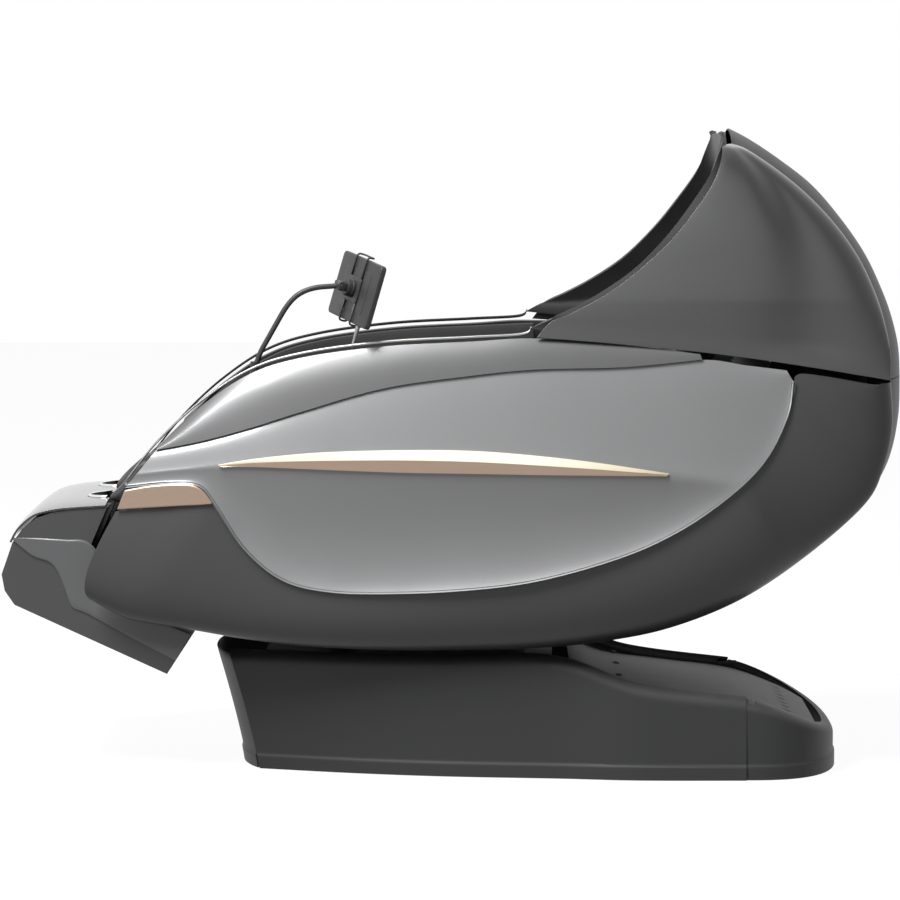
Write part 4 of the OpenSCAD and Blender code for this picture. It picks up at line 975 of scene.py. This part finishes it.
def deck_surface(u, v):
    y, z = along(deck_line, u)
    t = 2 * v - 1
    half = along(deck_half, u)[1]
    vents = 0
    if abs(y - 630) < 5 and abs(t) < 0.8:
        vents = 2.2 * max(0, math.sin(math.pi * 9 * t)) ** 0.5
    return Vector((t * half, y, z - 3 * abs(t) ** 6 - vents))


skin("rear_deck", deck_surface, rows(64, 0.868, 0.872, 0.876, 0.88, 0.884, 0.888), rows(72),
     base_plastic, "base", "base_gray", wall=3, centre=(0, 0.4, -1.0), bevel=0.0006,
     replaced=["base_deck"])

# %% Screw heads of the rear deck, each in its small ring
screws = bmesh.new()
for x in (-250, -83, 83, 250):
    for r, low, high in ((7.5, 170.0, 173.4), (4.2, 171.0, 174.6)):
        bmesh.ops.create_cone(screws, cap_ends=True, segments=24, radius1=r * MM,
                              radius2=(r - 0.8) * MM, depth=(high - low) * MM,
                              matrix=Matrix.Translation(Vector((x, 310, (low + high) / 2)) * MM))
wrap_up("deck_screws", screws, soft_rubber, "base", ["base_deck"], smooth=False)

# %% Opening for the power inlet, cut through the tail cap
cutter_work = bmesh.new()
bmesh.ops.create_cube(cutter_work, size=1)
bmesh.ops.scale(cutter_work, vec=(0.091, 0.06, 0.033), verts=cutter_work.verts)
bmesh.ops.translate(cutter_work, vec=(-0.015, 0.72, 0.036), verts=cutter_work.verts)
cutter_mesh = bpy.data.meshes.new("inlet_cutter")
cutter_work.to_mesh(cutter_mesh)
cutter = bpy.data.objects.new("inlet_cutter", cutter_mesh)
bpy.context.scene.collection.objects.link(cutter)
hole = tail.modifiers.new("inlet_hole", "BOOLEAN")
hole.object, hole.operation, hole.solver = cutter, "DIFFERENCE", "EXACT"
bpy.context.view_layer.update()
tail_shape = bpy.data.meshes.new_from_object(
    tail.evaluated_get(bpy.context.evaluated_depsgraph_get()))
tail.modifiers.clear()
tail.data = tail_shape
bpy.data.objects.remove(cutter)
print("tail cap faces:", len(tail_shape.polygons))

# %% [markdown]
# ## Tablet and its bent arm
# The arm is one bent steel tube. A path with rounded corners is swept with a ring
# of points, which gives it an even wall at every bend. The tablet is a slab with
# rounded corners, drawn in its own frame: `a` runs along it, `b` up it and `c`
# out of its back.


# %% Tubes along rounded paths
def rounded_path(points, radius, steps=8):
    path = [points[0]]
    for before, corner, after in zip(points, points[1:], points[2:]):
        back = (before - corner).normalized() * min(radius, (before - corner).length / 2)
        ahead = (after - corner).normalized() * min(radius, (after - corner).length / 2)
        for i in range(steps + 1):
            t = i / steps
            path.append(corner + back * (1 - t) ** 2 + ahead * t ** 2)
    return path + [points[-1]]


def swept(work, path, radius, sides=16, taper=None):
    frames = []
    normal = Vector((1, 0, 0))
    for i, p in enumerate(path):
        step = (path[min(i + 1, len(path) - 1)] - path[max(i - 1, 0)]).normalized()
        normal = (normal - step * normal.dot(step)).normalized()
        frames.append((p, normal, step.cross(normal)))

    def around(i, j):
        turn = 2 * math.pi * j / sides
        p, side, up = frames[i]
        r = radius * (taper(i / (len(path) - 1)) if taper else 1)
        return p + side * r * math.cos(turn) + up * r * math.sin(turn)
    add_to(work, closed(grid_on(around, range(len(path)), range(sides + 1)), 0.00001))


# %% The tablet's own frame
arm_foot, arm_knee = Vector((304, -383, 770)), Vector((304, -312, 918))
arm_neck, arm_head = Vector((302, -280, 934)), Vector((296, -222, 938))
tab_a = Vector((177, 76, -25)).normalized()
tab_c = tab_a.cross(Vector((2, 33, 115))).normalized()
tab_b = tab_c.cross(tab_a)
tab_w, tab_h, tab_t = 194, 122, 11
tab_mid = arm_head - (tab_t / 2 + 30) * tab_c


def on_tablet(a, b, c):
    return tab_mid + tab_a * a + tab_b * b + tab_c * c


def tablet_block(work, a, b, c, corner=0.0, edge=0.0008):
    part = bmesh.new()
    bmesh.ops.create_cube(part, size=1)
    place = Matrix((tab_a, tab_b, tab_c)).transposed().to_4x4()
    place.translation = on_tablet(sum(a) / 2, sum(b) / 2, sum(c) / 2) * MM
    bmesh.ops.scale(part, vec=((a[1] - a[0]) * MM, (b[1] - b[0]) * MM, (c[1] - c[0]) * MM),
                    verts=part.verts)
    if corner:
        upright = [e for e in part.edges
                   if abs((e.verts[0].co - e.verts[1].co).normalized().z) > 0.9]
        bmesh.ops.bevel(part, geom=upright, offset=corner * MM, offset_type="OFFSET",
                        segments=6, profile=0.5, affect="EDGES", material=-1)
    flat_rims = [e for e in part.edges if e.calc_face_angle(0) > 1.0]
    bmesh.ops.bevel(part, geom=flat_rims, offset=edge, offset_type="OFFSET", segments=3,
                    profile=0.5, affect="EDGES", material=-1)
    bmesh.ops.transform(part, matrix=place, verts=part.verts)
    add_to(work, part)


# %% Arm tube with its sleeve and the eye at its head
arm = bmesh.new()
swept(arm, rounded_path([arm_foot - Vector((0, 0, 46)), arm_foot + Vector((0, 0, 24)),
                         arm_knee + Vector((0, -4, -6)), arm_neck,
                         arm_head - (arm_head - arm_neck).normalized() * 6], 34, 12), 5, 20)
swept(arm, [arm_foot + Vector((0, 0, z)) for z in (-45, -43, -8, 22, 25, 26)], 8, 24,
      lambda t: 0.8 if t in (0, 1) else 1)
swept(arm, [arm_head + tab_a * a for a in (-9, -8.2, 8.2, 9)], 9, 32,
      lambda t: 0.9 if t in (0, 1) else 1)
rounded(wrap_up("arm_tube_bent", arm, fine_plastic, "arm", ["arm_tube"]), 0.0006)

# %% Tablet body, screen and back
tablet = bmesh.new()
tablet_block(tablet, (-97, 97), (-61, 61), (-5.5, 5.5), 9, 0.0022)
tablet_block(tablet, (-88, 88), (-53, 53), (-6.0, -5.2), 3, 0.0003)
tablet_block(tablet, (-62, 62), (-40, 40), (5.2, 6.2), 6, 0.0004)
tablet_piece = wrap_up("tablet_slab", tablet, fine_plastic, "tablet", ["tablet"])
tablet_piece.data.materials.append(screen_glass)
screen_faces = 0
for face in tablet_piece.data.polygons:
    depth = (Vector(face.center) / MM - tab_mid).dot(tab_c)
    if depth < -5.55:
        face.material_index = 1
        screen_faces += 1
print("screen faces:", screen_faces)

# %% Clamp with wire clips above and below
clamp = bmesh.new()
tablet_block(clamp, (-30, 30), (-24, 24), (6.5, 9.8), 5, 0.0008)
swept(clamp, rounded_path([on_tablet(-26, 22, 8), on_tablet(-26, 66, 8), on_tablet(-26, 66, -6.8),
                           on_tablet(26, 66, -6.8), on_tablet(26, 66, 8),
                           on_tablet(26, 22, 8)], 8), 1.9, 12)
for a in (-26, 26):
    swept(clamp, rounded_path([on_tablet(a, -20, 8), on_tablet(a, -65, 8),
                               on_tablet(a, -65, -7.6), on_tablet(a, -58, -8.2)], 6), 1.9, 12)
wrap_up("tablet_clips", clamp, fine_plastic, "tablet", ["tablet_clamp"])

# %% Hinge block: two ears hold a pin through the arm's eye
joint = bmesh.new()
barrel_rings = [(9.8, 15.4), (11, 16.5), (15, 16.5), (15.6, 15.9), (24.2, 15.9), (25.2, 15.2)]
BARREL_SIDES = 64


def barrel_surface(i, j):
    c, r = barrel_rings[i]
    turn = 2 * math.pi * j / BARREL_SIDES
    return on_tablet(r * math.cos(turn), r * math.sin(turn), c)


add_to(joint, closed(grid_on(barrel_surface, range(6), range(BARREL_SIDES + 1)), 0.00001))
for sign in (-1, 1):
    a = sorted((sign * 9.6, sign * 13.4))
    tablet_block(joint, a, (-7.5, 7.5), (22, 43), 0, 0.0015)
    swept(joint, [on_tablet(sign * a, 0, 35.5) for a in (13, 15.6, 16.2)], 5.2, 6)
swept(joint, [on_tablet(a, 0, 35.5) for a in (-13.2, 13.2)], 2.6, 20)
rounded(wrap_up("hinge_block", joint, fine_plastic, "tablet", ["arm_joint"]),
        0.0004)

# %% Plug and strain relief of the tablet's lead
lead = bmesh.new()
swept(lead, [on_tablet(52, -61.3 - d, 0) for d in (0, 1, 9, 10, 14, 15, 19, 20, 24, 25, 29, 30,
                                                   34, 43, 44)],
      4.4, 16, lambda t: (1.0 - 0.42 * t) * (0.9 if round(t * 14) in (0, 3, 5, 7, 9, 11, 14)
                                             else 1.0))
wrap_up("tablet_lead_relief", lead, gray_plastic, "tablet", ["tablet_lead"])

# %% [markdown]
# ## Soft goods
# Seat, back, pillow, arm pads and leg pads are foam in a sewn leather cover.
# Each starts as a slightly smaller copy of the space it fills, remeshed into
# even cells, and Blender's Cloth blows it up a little so that the faces crown
# and the sides pull in between the corners. The travel is capped, and no point
# may leave the space by more than a hair. Seams and channels are pressed in
# afterwards, because a remesh would wipe them out.

# %% Soft pieces
from mathutils.bvhtree import BVHTree

TRAVEL_FRAMES = 20


def foam_copy(name, inset, keep=None, cell=0.006):
    work = bmesh.new()
    work.from_mesh(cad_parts[name].data)
    bmesh.ops.remove_doubles(work, verts=work.verts, dist=0.00003)
    if keep:
        seen, drop = set(), []
        for start in work.verts:
            if start in seen:
                continue
            island, open_list = [], [start]
            seen.add(start)
            while open_list:
                v = open_list.pop()
                island.append(v)
                for e in v.link_edges:
                    w = e.other_vert(v)
                    if w not in seen:
                        seen.add(w)
                        open_list.append(w)
            if not keep([v.co for v in island]):
                drop += island
        bmesh.ops.delete(work, geom=drop, context="VERTS")
    space = BVHTree.FromBMesh(work)
    low = Vector([min(v.co[i] for v in work.verts) for i in range(3)])
    high = Vector([max(v.co[i] for v in work.verts) for i in range(3)])
    middle, size = (low + high) / 2, high - low
    for v in work.verts:
        v.co = middle + Vector([(v.co[i] - middle[i]) * (1 - 2 * inset / size[i])
                                for i in range(3)])
    mesh = bpy.data.meshes.new(name + "_foam")
    work.to_mesh(mesh)
    work.free()
    foam = bpy.data.objects.new(name + "_foam", mesh)
    bpy.context.scene.collection.objects.link(foam)
    voxels = foam.modifiers.new("voxels", "REMESH")
    voxels.mode, voxels.voxel_size = "VOXEL", cell
    return settle(foam), space


def settle(piece):
    bpy.context.view_layer.update()
    shape = bpy.data.meshes.new_from_object(
        piece.evaluated_get(bpy.context.evaluated_depsgraph_get()))
    piece.modifiers.clear()
    old, piece.data = piece.data, shape
    bpy.data.meshes.remove(old)
    return piece


def puffed(foam, space, cap, spill=0.0015):
    before = [v.co.copy() for v in foam.data.vertices]
    cloth = foam.modifiers.new("cloth", "CLOTH")
    cloth.settings.use_pressure = True
    cloth.settings.uniform_pressure_force = 4
    cloth.settings.effector_weights.gravity = 0
    cloth.point_cache.frame_end = TRAVEL_FRAMES
    for step in range(1, TRAVEL_FRAMES + 1):
        bpy.context.scene.frame_set(step)
    settle(foam)
    bpy.context.scene.frame_set(1)
    moved = 0.0
    for v, start in zip(foam.data.vertices, before):
        step = v.co - start
        if step.length > cap:
            step *= cap / step.length
        v.co = start + step
        spot, normal, _, far = space.find_nearest(v.co)
        beyond = (v.co - spot).dot(normal)
        if beyond > spill:
            v.co -= normal * (beyond - spill)
        moved = max(moved, (v.co - start).length)
    return moved


def pressed(foam, seams, depth, width):
    foam.data.update()
    normals = [v.normal.copy() for v in foam.data.vertices]
    for v, normal in zip(foam.data.vertices, normals):
        near = min(abs(seam(v.co / MM, normal)) for seam in seams)
        if near < 4 * width:
            v.co -= normal * (depth * MM * math.exp(-(near / width) ** 2))


def cushion(name, body, inset, cap, seams=(), depth=7, width=7, keep=None, cell=0.006,
            spill=0.0015):
    foam, space = foam_copy(name, inset, keep, cell)
    moved = puffed(foam, space, cap, spill)
    if seams:
        pressed(foam, seams, depth, width)
    foam.name = name + "_padded"
    for face in foam.data.polygons:
        face.use_smooth = True
    fine = foam.modifiers.new("fine", "SUBSURF")
    fine.levels = fine.render_levels = 1
    foam.data.materials.clear()
    foam.data.materials.append(black_leather)
    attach(foam, body)
    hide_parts(name)
    print(f"{foam.name}: {len(foam.data.vertices)} points, moved up to {moved * 1000:.1f} mm")
    return foam


def across_at(*places):
    return [lambda p, n, y=y: p.y - y if n.z > 0.2 else 999 for y in places]


def down_at(*places):
    return [lambda p, n, x=x: abs(p.x) - x if n.z > 0.2 else 999 for x in places]


def out_of_back(p):
    # height up the back frame and distance out of it
    turn = math.radians(back_angle)
    dy, dz = p.y - back_foot[0], p.z - back_foot[1]
    return (dy * math.cos(turn) + dz * math.sin(turn), -dy * math.sin(turn) + dz * math.cos(turn))


def back_channels(*places):
    front = Vector((0, -math.sin(math.radians(back_angle)), math.cos(math.radians(back_angle))))
    return [lambda p, n, t=t: out_of_back(p)[0] - t if n.dot(front) > 0.2 else 999
            for t in places]


back_foot, back_angle = (300, 440), 60
PAD_TOP = 0.68  # the arm pads end below this height, their boards above it
cushion("seat_cushion", "capsule", 0.010, 0.024,
        across_at(-330, -215, -100, 20) + down_at(170), depth=6, width=7)
cushion("back_cushion", "capsule", 0.007, 0.020,
        back_channels(110, 210, 310, 410, 510), depth=5, width=6, spill=-0.003)
cushion("head_pillow", "capsule", 0.008, 0.026, down_at(0), depth=5, width=6)
for side, sign in (("left", 1), ("right", -1)):
    cushion("armrest_" + side, "capsule", 0.006, 0.018,
            [lambda p, n: abs(p.x) - 290 if n.z > 0.2 else 999], depth=4, width=5,
            keep=lambda points: max(p.z for p in points) < PAD_TOP)
cushion("calf_pad", "leg_rest", 0.003, 0.010)
cushion("foot_pad", "foot_unit", 0.003, 0.010)

# %% Finishes for the frame, the drives and the rest of the CAD nodes
plain_nodes = {
    frame_steel: ("base_frame", "seat_frame", "back_rails", "leg_frame", "carriage"),
    bare_steel: ("tilt_rod", "leg_rod", "climb_pinions"),
    fine_plastic: ("belly_pan", "tilt_cylinder", "leg_cylinder", "knead_arm_left",
                   "knead_arm_right"),
    soft_rubber: ("base_feet", "rollers_upper", "rollers_lower", "foot_roller"),
}
for finish, names in plain_nodes.items():
    for name in names:
        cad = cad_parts[name]
        cad.data.materials.clear()
        cad.data.materials.append(finish)
